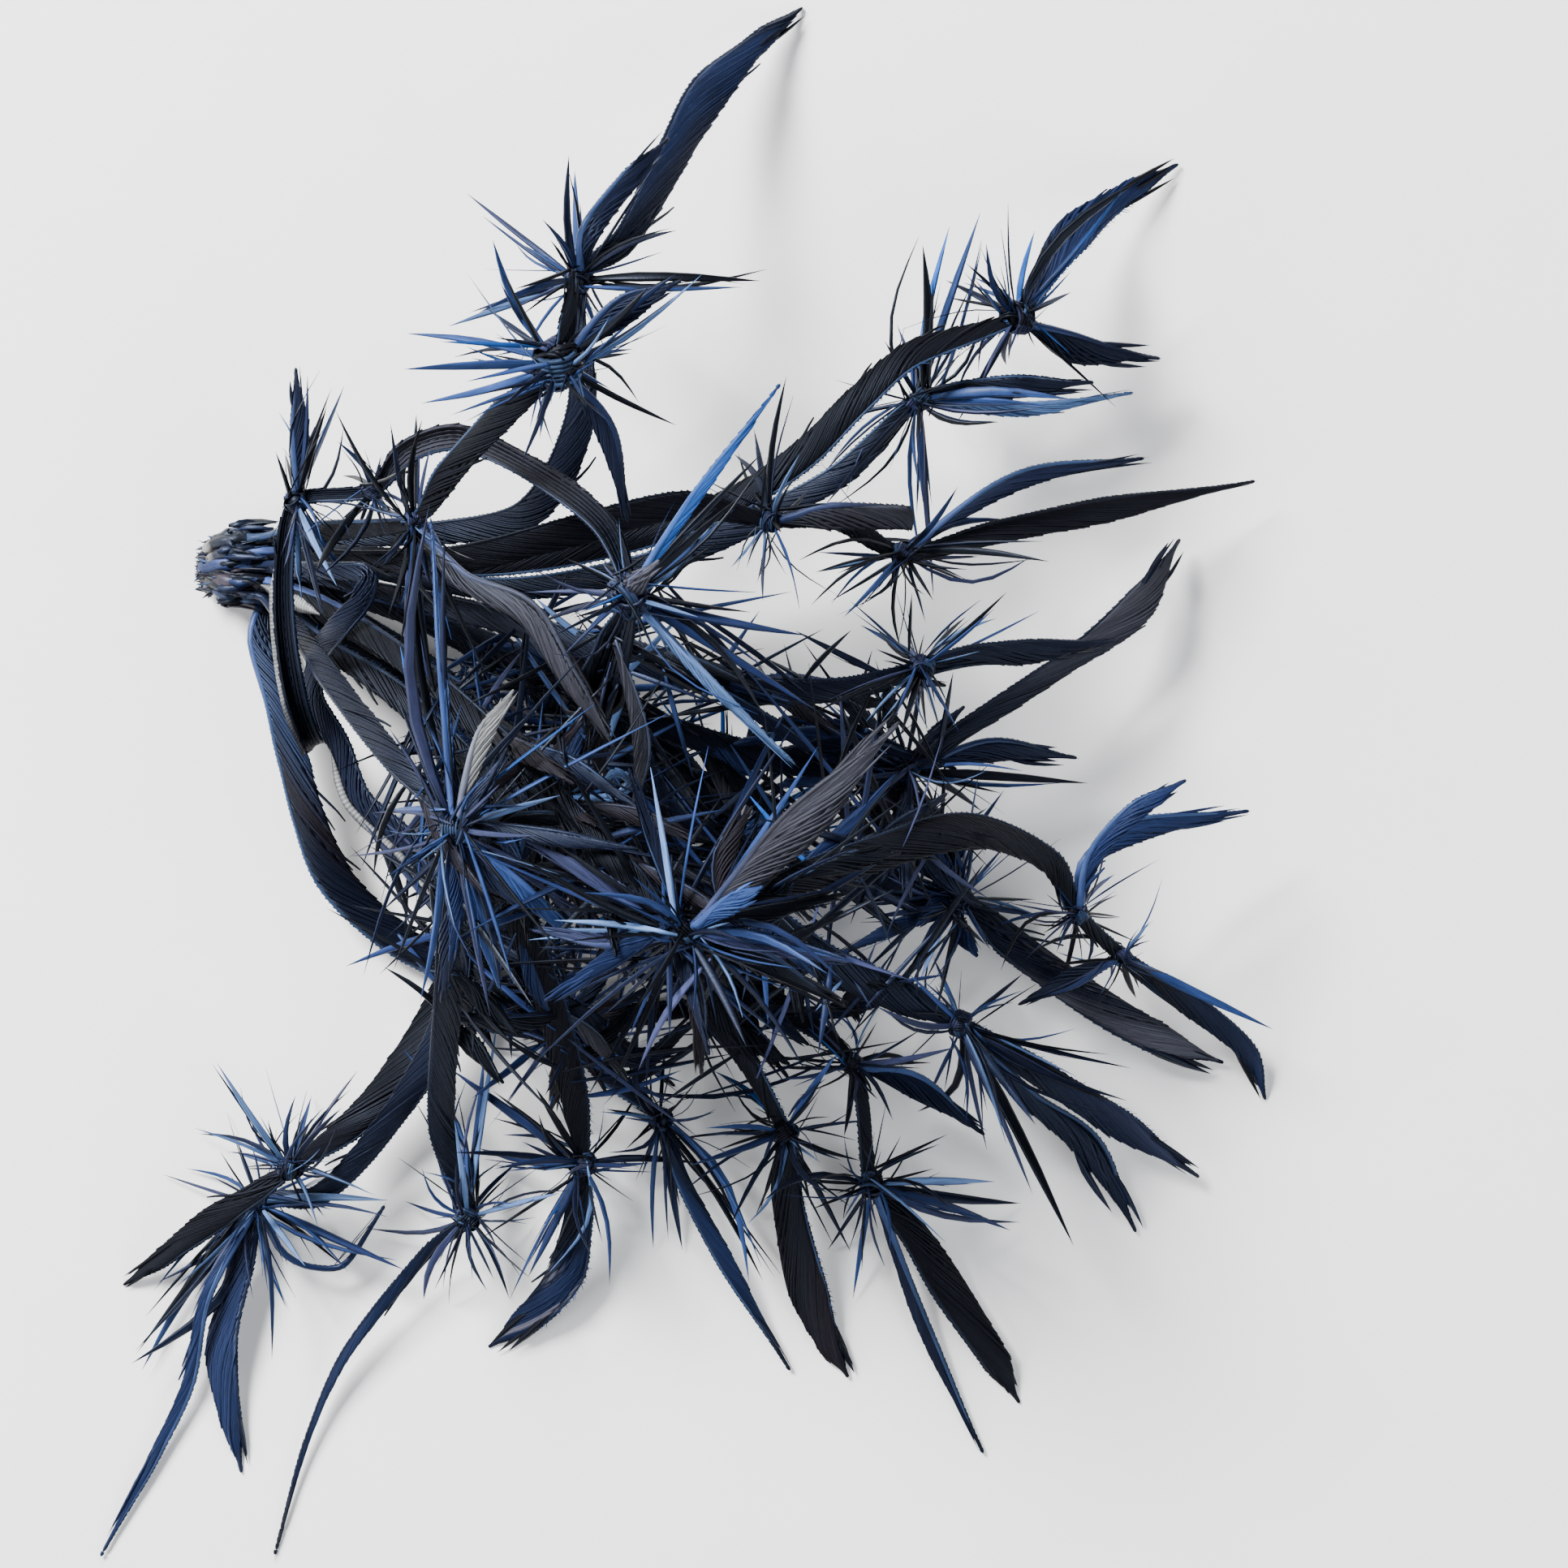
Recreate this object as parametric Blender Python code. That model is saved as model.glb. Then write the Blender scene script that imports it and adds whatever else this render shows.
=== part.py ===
"""A spray of knotted feather strips glued into one stub, for trimming a hat.

Each strip is one split quill with its barbs left on. It is tied in overhand knots, and at
each knot the barbs spread out as pointed blades. The spray lies on its back on z = 0, with
the stub at the origin, +X and +Y in the plane it lies on, and +Z up.
"""

import math
import random

import bmesh
import bpy
import numpy as np
from mathutils import Vector

# Driving dimensions, in millimetres.
GRID = 0.125
GRID_CENTRE = (966, 966)
STUB_ON_GRID = (283, 700)
VIEW_HEIGHT = 1000.0
STUB_LENGTH = 6.0
STUB_WIDTH = 11.4
STUB_TALL = 10.2
STUB_END_WIDTH = 7.0
STUB_END_TALL = 6.4
GAP = 0.35
QUILL_PITCH = 2.15
QUILL_WIDTH = 1.5
QUILL_THICK = 1.1
VANE_THICK = 0.9
PINCH_WIDTH = 2.0
KNOT_LENGTH = 1.15
BLADE_WIDTH = 1.5
BLADE_THICK = 0.7
BLADE_LONGEST = 25.0
BLADE_SHORTEST = 5.0
SHOULDER = 0.24
LEVELLING = 1.2
FLOOR_GAP = 0.5

# How finely the strips are divided, and how the blades are spread.
RING_STEP = 9.0
FINE_STEP = 0.8
BLADES_PER_KNOT = 12
SPREAD_DEGREES = 19.0
STRIP_SPREAD_DEGREES = 34.0
SEED = 7

MM = 0.001
NAVY = (0.006, 0.012, 0.038)
BLACK_NAVY = (0.004, 0.005, 0.012)
BRIGHT_NAVY = (0.012, 0.035, 0.12)
GLUE = (0.20, 0.21, 0.24)


def place(px, py, z):
    """The point, in mm, seen at (px, py) of the plan grid from VIEW_HEIGHT above, at height z."""
    side = GRID * (1 - z / VIEW_HEIGHT)
    x = (px - GRID_CENTRE[0]) * side + (GRID_CENTRE[0] - STUB_ON_GRID[0]) * GRID
    y = (GRID_CENTRE[1] - py) * side - (GRID_CENTRE[1] - STUB_ON_GRID[1]) * GRID
    return Vector((x, y, z))


def way(px, py, z, width):
    """A stop on a strip's route, with the strip's width there."""
    return {"at": place(px, py, z), "width": width}


def knot(px, py, z, radius, tips=(), leaves=()):
    """A knot on the route: the plan places of its blades' tips, and its leaf-like blades."""
    return {
        "at": place(px, py, z),
        "width": PINCH_WIDTH,
        "radius": radius,
        "tips": tips,
        "leaves": leaves,
    }


# Each strip: the row and column of its quill in the stub, its colour, then its stops.
STRIPS = {
    "strip_arch": (0, 4, NAVY, [
        way(340, 780, 2.2, 2.4),
        way(370, 855, 2.8, 2.8),
        way(391, 915, 8.5, 3.0),
        way(386, 918, 14.0, 3.2),
        way(366, 868, 20.0, 3.4),
        way(351, 779, 25.0, 3.2),
        way(350, 690, 27.0, 2.8),
        knot(365, 618, 29, 2.6,
             [(379, 463), (424, 476), (403, 500), (343, 507), (400, 760)],
             [[(370, 530, 32, 2.8), (364, 451, 34, 0)]]),
        knot(459, 604, 33, 2.4, [(432, 543), (422, 586), (389, 705)]),
        way(500, 557, 36, 3.6),
        way(565, 538, 40, 4.0),
        way(672, 588, 47, 3.8),
        way(749, 653, 54, 3.4),
        knot(775, 735, 58, 3.2,
             [(940, 557), (1005, 875), (994, 783), (665, 768), (655, 700)],
             [[(860, 610, 64, 2.6), (965, 468, 66, 0)], [(870, 838, 60, 2.4), (986, 948, 58, 0)]]),
        way(757, 800, 53, 6.0),
        way(742, 850, 47, 8.0),
        way(720, 905, 42, 0),
    ]),
    "strip_front_crest": (3, 0, BLACK_NAVY, [
        way(400, 655, 23, 3.0),
        knot(510, 642, 39, 2.6,
             [(481, 521), (513, 511), (455, 700), (540, 900)],
             [[(565, 712, 44, 2.6), (650, 756, 49, 3.8), (700, 835, 51, 3.0), (760, 925, 50, 0)]]),
        way(552, 585, 47, 4.2),
        way(610, 520, 55, 4.4),
        knot(687, 448, 63, 3.4,
             [(607, 295), (502, 411), (498, 455), (519, 497), (641, 574), (833, 524)],
             [[(770, 382, 66, 4.2), (840, 345, 68, 0)], [(745, 530, 60, 3.0), (775, 650, 55, 0)]]),
        way(700, 400, 66, 2.6),
        way(706, 330, 69, 0),
    ]),
    "strip_tall": (1, 0, NAVY, [
        way(430, 664, 10, 2.6),
        way(560, 655, 16, 3.6),
        way(640, 640, 21, 4.6),
        way(687, 590, 26, 4.8),
        way(718, 497, 31, 4.4),
        knot(712, 344, 30, 3.0,
             [(701, 191), (576, 239), (553, 402), (944, 340), (833, 284), (660, 520)],
             [[(728, 285, 34, 3.2), (776, 222, 30, 3.0), (826, 168, 26, 0)]]),
        way(768, 300, 28, 3.8),
        way(822, 205, 20, 5.0),
        way(871, 118, 12, 6.2),
        way(935, 52, 5, 3.4),
        way(990, 8, 0, 0),
    ]),
    "strip_upper_right": (2, 1, BLACK_NAVY, [
        way(430, 682, 15, 2.6),
        way(600, 695, 23, 3.6),
        way(760, 668, 27, 4.2),
        way(900, 619, 29, 4.4),
        way(989, 561, 29, 4.4),
        way(1056, 494, 29, 4.2),
        way(1123, 436, 27, 4.0),
        knot(1253, 391, 22, 3.0,
             [(1242, 250), (1275, 284), (1190, 324), (1180, 520)],
             [[(1324, 430, 17, 4.6), (1433, 442, 10, 0)]]),
        way(1282, 345, 17, 4.0),
        way(1322, 288, 11, 5.8),
        way(1385, 240, 5, 3.6),
        way(1454, 201, 0.5, 0),
    ]),
    "strip_right_star": (1, 1, NAVY, [
        way(440, 700, 9, 2.4),
        way(620, 726, 13, 3.4),
        way(780, 702, 16, 3.8),
        way(900, 656, 18, 4.0),
        way(1040, 582, 19, 3.6),
        knot(1132, 494, 19, 2.8,
             [(1137, 302), (1170, 279), (1208, 262), (1016, 623), (1150, 733)],
             [[(1260, 505, 15, 3.0), (1400, 483, 10, 0)]]),
        way(1240, 478, 21, 3.6),
        way(1351, 471, 22, 0),
    ]),
    "strip_long_leaf": (3, 1, BLACK_NAVY, [
        way(430, 690, 22, 2.8),
        way(560, 690, 32, 4.0),
        way(714, 653, 37, 4.6),
        way(844, 622, 37, 4.0),
        knot(949, 641, 35, 2.6, [(969, 463), (929, 529), (985, 750)]),
        way(1030, 640, 32, 3.8),
        knot(1112, 682, 28, 2.6,
             [(985, 690), (1110, 800), (1293, 692)],
             [[(1257, 592, 26, 2.8), (1418, 563, 22, 0)]]),
        way(1230, 656, 23, 3.4),
        way(1346, 632, 17, 3.8),
        way(1552, 592, 6, 0),
    ]),
    "strip_middle_right": (2, 2, NAVY, [
        way(440, 722, 14.5, 2.6),
        way(600, 760, 25, 3.6),
        way(760, 806, 33, 4.0),
        way(930, 850, 33, 4.0),
        way(1050, 848, 31, 3.6),
        knot(1136, 822, 29, 2.8,
             [(1225, 750), (1280, 753), (1182, 902), (1060, 770), (1110, 905)]),
        way(1200, 808, 26, 3.2),
        way(1265, 804, 22, 3.8),
        way(1385, 788, 15, 0),
    ]),
    "strip_grey_leaf": (1, 2, NAVY, [
        way(450, 742, 9, 2.4),
        way(620, 800, 16, 3.4),
        way(780, 880, 21, 3.6),
        way(950, 935, 22, 3.8),
        knot(1118, 950, 20, 2.8,
             [(1010, 890), (1340, 975), (1060, 1040), (1160, 1060)],
             [[(1222, 925, 17, 3.6), (1331, 934, 12, 0)]]),
        way(1180, 905, 19, 2.8),
        way(1300, 826, 14, 3.6),
        way(1400, 750, 9, 5.0),
        way(1455, 662, 3, 0),
    ]),
    "strip_front": (3, 3, BLACK_NAVY, [
        way(400, 748, 19, 2.8),
        way(520, 830, 36, 3.6),
        way(660, 960, 50, 4.2),
        way(770, 1075, 58, 4.0),
        knot(845, 1150, 60, 3.2,
             [(665, 1080), (760, 1210), (700, 1160), (860, 1290), (993, 1320), (1054, 1246), (1054, 1185)],
             [[(985, 1020, 66, 6.0), (1112, 885, 68, 0)], [(905, 1112, 66, 4.4), (940, 1092, 68, 0)]]),
        way(940, 1100, 56, 3.6),
        way(1050, 1062, 49, 5.4),
        way(1194, 1023, 38, 5.6),
        way(1295, 1062, 28, 3.6),
        knot(1328, 1125, 22, 2.4,
             [(1245, 1113), (1216, 1145), (1233, 1196)],
             [[(1352, 1050, 29, 2.4), (1400, 1000, 31, 3.0), (1463, 960, 30, 0)],
              [(1340, 1064, 24, 2.2), (1400, 1024, 21, 3.6), (1545, 998, 13, 0)]]),
        knot(1382, 1178, 16, 2.2, [(1417, 1135), (1302, 1173)], [[(1320, 1205, 13, 3.0), (1253, 1239, 10, 0)]]),
        way(1430, 1215, 12, 3.0),
        way(1480, 1248, 8, 3.6),
        way(1537, 1296, 4, 3.0),
        way(1560, 1357, 0, 0),
    ]),
    "strip_barred": (0, 1, NAVY, [
        way(470, 742, 4.5, 2.4),
        way(640, 830, 8.5, 3.4),
        way(790, 950, 12, 3.6),
        knot(908, 1032, 14, 2.4, [(1010, 960), (830, 1080), (960, 1130), (850, 940)]),
        way(1050, 1076, 15, 3.6),
        knot(1184, 1107, 13, 2.8, [(1130, 1230), (1240, 1040), (1150, 1160), (1290, 1130)]),
        way(1245, 1160, 11, 5.0),
        way(1330, 1222, 8, 5.6),
        way(1420, 1276, 4.5, 5.0),
        way(1509, 1310, 1.0, 0),
    ]),
    "strip_lower_right": (2, 3, NAVY, [
        way(440, 768, 12, 2.6),
        way(570, 880, 21, 3.6),
        knot(666, 987, 27, 2.6, [(765, 965), (560, 960), (700, 1090), (760, 1050)]),
        way(810, 1056, 29, 5.0),
        way(930, 1122, 27, 4.4),
        way(1016, 1185, 23, 5.2),
        way(1105, 1226, 18, 5.4),
        knot(1184, 1262, 15, 3.0,
             [(1388, 1356), (1393, 1316), (1276, 1386), (1130, 1370), (1120, 1200)],
             [[(1262, 1350, 9, 2.8), (1340, 1412, 5, 4.4), (1402, 1522, 0.5, 0)]]),
        way(1279, 1322, 12, 4.0),
        way(1370, 1380, 7, 5.0),
        way(1480, 1452, 2, 0),
    ]),
    "strip_bottom_right": (0, 3, BLACK_NAVY, [
        way(440, 800, 3.4, 2.4),
        way(640, 930, 6, 3.4),
        way(800, 1080, 8.5, 3.8),
        way(940, 1222, 11, 3.8),
        knot(1049, 1310, 11, 2.6, [(1180, 1290), (940, 1300)], [[(1130, 1340, 10, 3.8), (1216, 1400, 8, 0)]]),
        knot(1074, 1459, 8, 3.0,
             [(1226, 1456), (1256, 1483), (1245, 1516), (1051, 1600), (940, 1480)],
             [[(1140, 1640, 2, 2.0), (1215, 1798, 0.5, 0)]]),
        way(1120, 1510, 6, 4.2),
        way(1170, 1588, 3.5, 5.8),
        way(1225, 1672, 2, 4.4),
        way(1256, 1729, 0, 0),
    ]),
    "strip_dark_leaf": (1, 3, BLACK_NAVY, [
        way(440, 782, 8, 2.6),
        way(600, 880, 13.5, 3.6),
        way(740, 1030, 17, 4.0),
        way(860, 1210, 17, 4.0),
        knot(967, 1396, 11, 3.0,
             [(850, 1436), (1048, 1542), (1030, 1300), (880, 1320), (900, 1510), (1075, 1380)]),
        way(968, 1470, 7, 4.6),
        way(993, 1585, 3, 6.0),
        way(1020, 1655, 1.5, 3.6),
        way(1045, 1697, 0.5, 0),
    ]),
    "strip_outer_sweep": (1, 4, NAVY, [
        way(320, 790, 6.0, 3.4),
        way(342, 855, 8.0, 4.4),
        way(360, 930, 8.5, 5.0),
        way(380, 1005, 8.0, 5.4),
        way(412, 1082, 6.5, 5.6),
        way(479, 1149, 4.4, 5.2),
        way(552, 1195, 2.8, 4.4),
        knot(690, 1272, 4, 2.4, [(640, 1200), (770, 1240), (720, 1180), (600, 1290)]),
        way(750, 1325, 5.0, 3.2),
        knot(814, 1379, 7, 2.6,
             [(770, 1300), (805, 1538), (860, 1330), (962, 1570), (740, 1370)]),
        way(840, 1450, 6, 2.8),
        way(889, 1545, 4, 3.0),
        way(977, 1695, 0.5, 0),
    ]),
    "strip_bottom_leaf": (2, 4, BLACK_NAVY, [
        way(390, 790, 14, 2.8),
        way(500, 866, 25, 3.8),
        way(600, 980, 33, 4.6),
        way(632, 1100, 32, 5.0),
        way(680, 1243, 23, 4.8),
        way(705, 1340, 15, 4.4),
        knot(718, 1434, 10, 3.0,
             [(751, 1583), (555, 1317), (560, 1420), (860, 1433), (651, 1573), (790, 1340), (660, 1340)]),
        way(712, 1500, 7, 4.4),
        way(700, 1570, 4, 5.8),
        way(652, 1625, 2, 4.4),
        way(602, 1660, 0, 0),
    ]),
    "strip_left_front": (3, 4, NAVY, [
        way(365, 775, 16.5, 2.8),
        way(412, 842, 34, 3.4),
        way(485, 935, 51, 3.6),
        knot(560, 1020, 56, 3.2,
             [(529, 622), (493, 796), (618, 1225), (604, 1252), (473, 1082), (716, 1162), (690, 980)],
             [[(600, 890, 61, 3.4), (640, 835, 62, 0)]]),
        way(557, 1100, 49, 3.6),
        way(552, 1228, 36, 4.2),
        way(545, 1390, 17, 4.0),
        knot(576, 1500, 8.5, 3.0,
             [(498, 1294), (529, 1289), (613, 1258), (553, 1606), (651, 1573), (499, 1480), (690, 1470)]),
        way(530, 1540, 6.5, 2.8),
        way(427, 1667, 3.4, 2.6),
        way(380, 1770, 1.6, 2.4),
        way(336, 1924, 0, 0),
    ]),
    "strip_bottom_left": (3, 2, BRIGHT_NAVY, [
        way(350, 701, 16.5, 2.0),
        way(395, 704, 24, 2.4),
        way(452, 708, 29, 3.0),
        way(446, 738, 29, 3.2),
        way(420, 768, 26.5, 3.4),
        way(393, 806, 19.5, 3.4),
        way(386, 856, 17, 3.4),
        way(418, 918, 13, 3.4),
        way(442, 985, 13, 3.8),
        way(510, 1050, 14, 4.2),
        way(560, 1140, 16, 4.6),
        way(545, 1270, 17, 4.6),
        way(465, 1400, 11, 3.8),
        way(390, 1474, 7, 3.2),
        knot(317, 1482, 4, 2.8,
             [(335, 1676), (352, 1610), (167, 1664), (175, 1688), (499, 1565), (230, 1440)],
             [[(254, 1596, 5.6, 1.6), (232, 1704, 2.4, 1.8), (193, 1788, 1.2, 1.6), (121, 1923, 0.5, 0)]]),
        way(296, 1560, 3.8, 4.2),
        way(272, 1660, 2.6, 5.2),
        way(282, 1740, 1.6, 3.4),
        way(298, 1816, 0, 0),
    ]),
    "strip_left_leaf": (0, 2, BLACK_NAVY, [
        way(440, 762, 5.5, 2.4),
        way(560, 850, 9, 3.2),
        way(618, 960, 10, 4.0),
        way(612, 1080, 9.5, 5.0),
        way(562, 1205, 9, 5.6),
        way(500, 1310, 9.5, 5.6),
        way(440, 1380, 8.5, 4.6),
        knot(358, 1440, 13, 2.8, [(267, 1309), (305, 1365), (240, 1390), (384, 1350), (440, 1320)]),
        way(310, 1472, 12.5, 3.2),
        way(262, 1502, 8.5, 4.2),
        way(205, 1545, 3.5, 3.0),
        way(150, 1585, 0, 0),
    ]),
}


def clear_scene():
    for old in list(bpy.data.objects):
        bpy.data.objects.remove(old, do_unlink=True)


def finish_material(name, colour, roughness):
    material = bpy.data.materials.new(name)
    material.use_nodes = True
    shader = material.node_tree.nodes["Principled BSDF"]
    shader.inputs["Base Color"].default_value = (*colour, 1)
    shader.inputs["Roughness"].default_value = roughness
    shader.inputs["Metallic"].default_value = 0.0
    return material


def add_object(name, bm, material):
    """Turns a bmesh in millimetres into an object in metres."""
    bmesh.ops.recalc_face_normals(bm, faces=bm.faces)
    bmesh.ops.scale(bm, vec=(MM, MM, MM), verts=bm.verts)
    mesh = bpy.data.meshes.new(name)
    bm.to_mesh(mesh)
    bm.free()
    mesh.materials.append(material)
    built = bpy.data.objects.new(name, mesh)
    bpy.context.scene.collection.objects.link(built)
    return built


def curve_point(a, b, c, d, t):
    """The point at t between b and c, on the cubic that has a before it and d after it."""
    into = (c - a) * 0.5
    out = (d - b) * 0.5
    t2 = t * t
    t3 = t2 * t
    return b * (2 * t3 - 3 * t2 + 1) + into * (t3 - 2 * t2 + t) + c * (3 * t2 - 2 * t3) + out * (t3 - t2)


def tangent_limited(a, b, c, d):
    """The neighbours a and d drawn in to the length of b to c, so that the cubic never loops."""
    span = (c - b).length
    before = a - b
    after = d - c
    if before.length > span:
        a = b + before * (span / before.length)
    if after.length > span:
        d = c + after * (span / after.length)
    return a, d


class Route:
    """A smooth line through a strip's stops, with its width at every step of the way."""

    def __init__(self, stops):
        self.points = []
        self.widths = []
        self.stop_steps = []
        places = [stop["at"] for stop in stops]
        places = [places[0] * 2 - places[1]] + places + [places[-1] * 2 - places[-2]]
        for i in range(len(stops) - 1):
            a, b, c, d = places[i : i + 4]
            a, d = tangent_limited(a, b, c, d)
            steps = max(2, round((c - b).length / FINE_STEP))
            self.stop_steps.append(len(self.points))
            for j in range(steps):
                t = j / steps
                self.points.append(curve_point(a, b, c, d, t))
                ease = t * t * (3 - 2 * t)
                self.widths.append(stops[i]["width"] * (1 - ease) + stops[i + 1]["width"] * ease)
        self.stop_steps.append(len(self.points))
        self.points.append(places[-2])
        self.widths.append(stops[-1]["width"])
        self.length_to = [0.0]
        for p, q in zip(self.points, self.points[1:]):
            self.length_to.append(self.length_to[-1] + (q - p).length)
        self.sides = [across(self.forward(0))]
        for step in range(1, len(self.points)):
            self.sides.append(carried_side(self.sides[-1], self.forward(step)))

    def step_at(self, length):
        return int(np.clip(np.searchsorted(self.length_to, length), 0, len(self.points) - 1))

    def forward(self, step):
        before = self.points[max(0, step - 1)]
        after = self.points[min(len(self.points) - 1, step + 1)]
        return (after - before).normalized()


def across(forward):
    """The level direction square to forward, which a strip lying flat is wide in."""
    flat = forward.cross(Vector((0, 0, 1)))
    if flat.length < 0.05:
        return Vector((1, 0, 0))
    return flat.normalized()


def carried_side(last, forward):
    """The strip's side one step on: as level as it can be, and never jumping to the other hand."""
    flat = forward.cross(Vector((0, 0, 1)))
    if flat.dot(last) < 0:
        flat.negate()
    side = last + flat * LEVELLING
    side -= forward * side.dot(forward)
    return side.normalized()


def lens_ring(bm, centre, forward, side, width, thick):
    """Six points round a flat strip's section: its two edges and two on each face."""
    up = side.cross(forward).normalized()
    corners = ((1, 0), (0.5, 1), (-0.5, 1), (-1, 0), (-0.5, -1), (0.5, -1))
    made = []
    for x, z in corners:
        point = centre + side * (x * width / 2) + up * (z * thick / 2)
        point.z = max(point.z, 0)
        made.append(bm.verts.new(point))
    return made


def round_ring(bm, centre, forward, side, radius):
    """Six points round a knot's section."""
    up = side.cross(forward).normalized()
    made = []
    for i in range(6):
        turn = i * math.pi / 3
        point = centre + side * (math.cos(turn) * radius) + up * (math.sin(turn) * radius)
        point.z = max(point.z, 0)
        made.append(bm.verts.new(point))
    return made


def bridge(bm, one, two):
    faces = []
    for i in range(len(one)):
        j = (i + 1) % len(one)
        faces.append(bm.faces.new((one[i], one[j], two[j], two[i])))
    return faces


def ring_plan(route, stops):
    """Where the rings go: (length along the route, knot index or None, share of the knot's radius)."""
    plan = []
    knots = []
    for index, stop in enumerate(stops):
        if "radius" in stop:
            middle = route.length_to[route.stop_steps[index]]
            knots.append((middle, index, stop["radius"] * KNOT_LENGTH))
    at = 0.0
    end = route.length_to[-1]
    for middle, index, half in knots + [(end, None, 0.0)]:
        stop_at = middle - half
        count = max(1, round((stop_at - at) / RING_STEP))
        for i in range(count):
            plan.append((at + (stop_at - at) * i / count, None, 0.0))
        if index is None:
            break
        for share in (-1.0, -0.62, 0.0, 0.62, 1.0):
            plan.append((middle + share * half, index, math.sqrt(max(0.0, 1 - share * share))))
        at = middle + half + 1.5
    return plan


def sweep_strip(bm, stops, route):
    """The strip with its knots swollen out of it. Returns the faces round each knot."""
    knot_faces = {}
    last = None
    last_index = None
    for length, index, share in ring_plan(route, stops):
        step = route.step_at(length)
        centre = route.points[step]
        forward = route.forward(step)
        side = route.sides[step]
        if index is not None and share > 0.3:
            ring = round_ring(bm, centre, forward, side, stops[index]["radius"] * share)
        elif index is not None:
            ring = lens_ring(bm, centre, forward, side, PINCH_WIDTH, QUILL_THICK)
        else:
            width = max(route.widths[step], QUILL_WIDTH)
            thick = QUILL_THICK if last is None else VANE_THICK
            ring = lens_ring(bm, centre, forward, side, width, thick)
        if last is None:
            bm.faces.new(ring)
        else:
            faces = bridge(bm, last, ring)
            if index is not None and last_index == index:
                knot_faces.setdefault(index, []).extend(faces)
        last = ring
        last_index = index
    tip = bm.verts.new(route.points[-1])
    for i in range(6):
        bm.faces.new((last[i], last[(i + 1) % 6], tip))
    return knot_faces


def flat_ring(centre, forward, width, thick):
    """Four corners of a blade's diamond section."""
    side = across(forward)
    up = side.cross(forward).normalized()
    corners = [centre + side * width / 2, centre + up * thick / 2]
    corners += [centre - side * width / 2, centre - up * thick / 2]
    return corners


def grow_blade(bm, face, stations):
    """Draws a face of a knot out along stations of (centre, width, thickness) to the last one, its tip."""
    base = list(face.verts)
    bm.faces.remove(face)
    before = sum((v.co for v in base), Vector()) / len(base)
    for i, (centre, width, thick) in enumerate(stations[:-1]):
        forward = (stations[i + 1][0] - before).normalized()
        corners = flat_ring(centre, forward, width, thick)
        if (base[1].co - base[0].co).cross(base[2].co - base[1].co).dot(forward) > 0:
            corners.reverse()
        turn = least_twist(base, before, corners, centre)
        ring = [bm.verts.new(corners[(k + turn) % 4]) for k in range(4)]
        bridge(bm, base, ring)
        base = ring
        before = centre
    tip = bm.verts.new(stations[-1][0])
    for k in range(4):
        bm.faces.new((base[k], base[(k + 1) % 4], tip))


def least_twist(base, base_centre, corners, centre):
    """The turn of four corners that leaves the walls from the base to them least twisted."""
    def spread(turn):
        return sum(
            ((corners[(k + turn) % 4] - centre) - (base[k].co - base_centre)).length for k in range(4)
        )

    return min(range(4), key=spread)


class Space:
    """What is already there, as small balls, so that a new blade can keep clear of it."""

    def __init__(self):
        self.centres = np.empty((0, 3))
        self.radii = np.empty(0)
        self.owners = np.empty((0, 2), int)

    def add(self, points, radii, owner):
        self.centres = np.vstack([self.centres, np.array(points)])
        self.radii = np.concatenate([self.radii, np.array(radii)])
        self.owners = np.vstack([self.owners, np.tile(owner, (len(points), 1))])

    def room(self, points, radii, owner, near, near_radius):
        """The least gap between these balls and the rest, leaving out what the blade's own knot holds."""
        apart = np.linalg.norm(self.centres - np.array(near), axis=1)
        own_strip = self.owners[:, 0] == owner[0]
        own_knot = own_strip & (apart < near_radius + 2.5)
        others = ~own_knot
        centres = self.centres[others]
        radii_there = self.radii[others]
        same_knot = (self.owners[others] == np.array(owner)).all(axis=1)
        least = 1e9
        for point, radius in zip(points, radii):
            gaps = np.linalg.norm(centres - np.array(point), axis=1) - radii_there - radius
            if (Vector(point) - near).length < near_radius + 3.0:
                gaps = gaps[~same_knot]
            if len(gaps):
                least = min(least, gaps.min())
        return least


def strip_balls(route):
    """Balls that fill a strip from edge to edge."""
    points, radii = [], []
    for step in range(0, len(route.points), 2):
        width = max(route.widths[step], QUILL_WIDTH)
        side = route.sides[step]
        for share in (-0.36, -0.12, 0.12, 0.36):
            points.append(route.points[step] + side * (share * width))
            radii.append(max(width * 0.16, VANE_THICK / 2))
    return points, radii


def blade_balls(stations):
    points, radii = [], []
    for (p, width, _), (q, next_width, _) in zip(stations, stations[1:]):
        steps = max(2, round((q - p).length / FINE_STEP))
        for i in range(steps + 1):
            t = i / steps
            points.append(p.lerp(q, t))
            radii.append((width * (1 - t) + next_width * t) / 2 + 0.1)
    return points, radii


def blade_stations(centre, tip, radius, width):
    """A blade from a knot's skin to its tip: widest at its shoulder, then a long point."""
    line = tip - centre
    root = centre + line.normalized() * radius
    shoulder = root.lerp(tip, SHOULDER)
    shoulder.z += 0.04 * line.length
    shoulder.z = max(shoulder.z, FLOOR_GAP)
    return [(shoulder, width, BLADE_THICK), (tip, 0.0, 0.0)]


def leaf_stations(centre, radius, leaf):
    """A leaf-like blade through its hand-placed points."""
    points = [place(px, py, z) for px, py, z, _ in leaf]
    root = centre + (points[0] - centre).normalized() * (radius + 0.8)
    stations = [(root, BLADE_WIDTH, BLADE_THICK)]
    for point, (_, _, _, width) in zip(points, leaf):
        stations.append((point, width, BLADE_THICK))
    return stations


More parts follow.
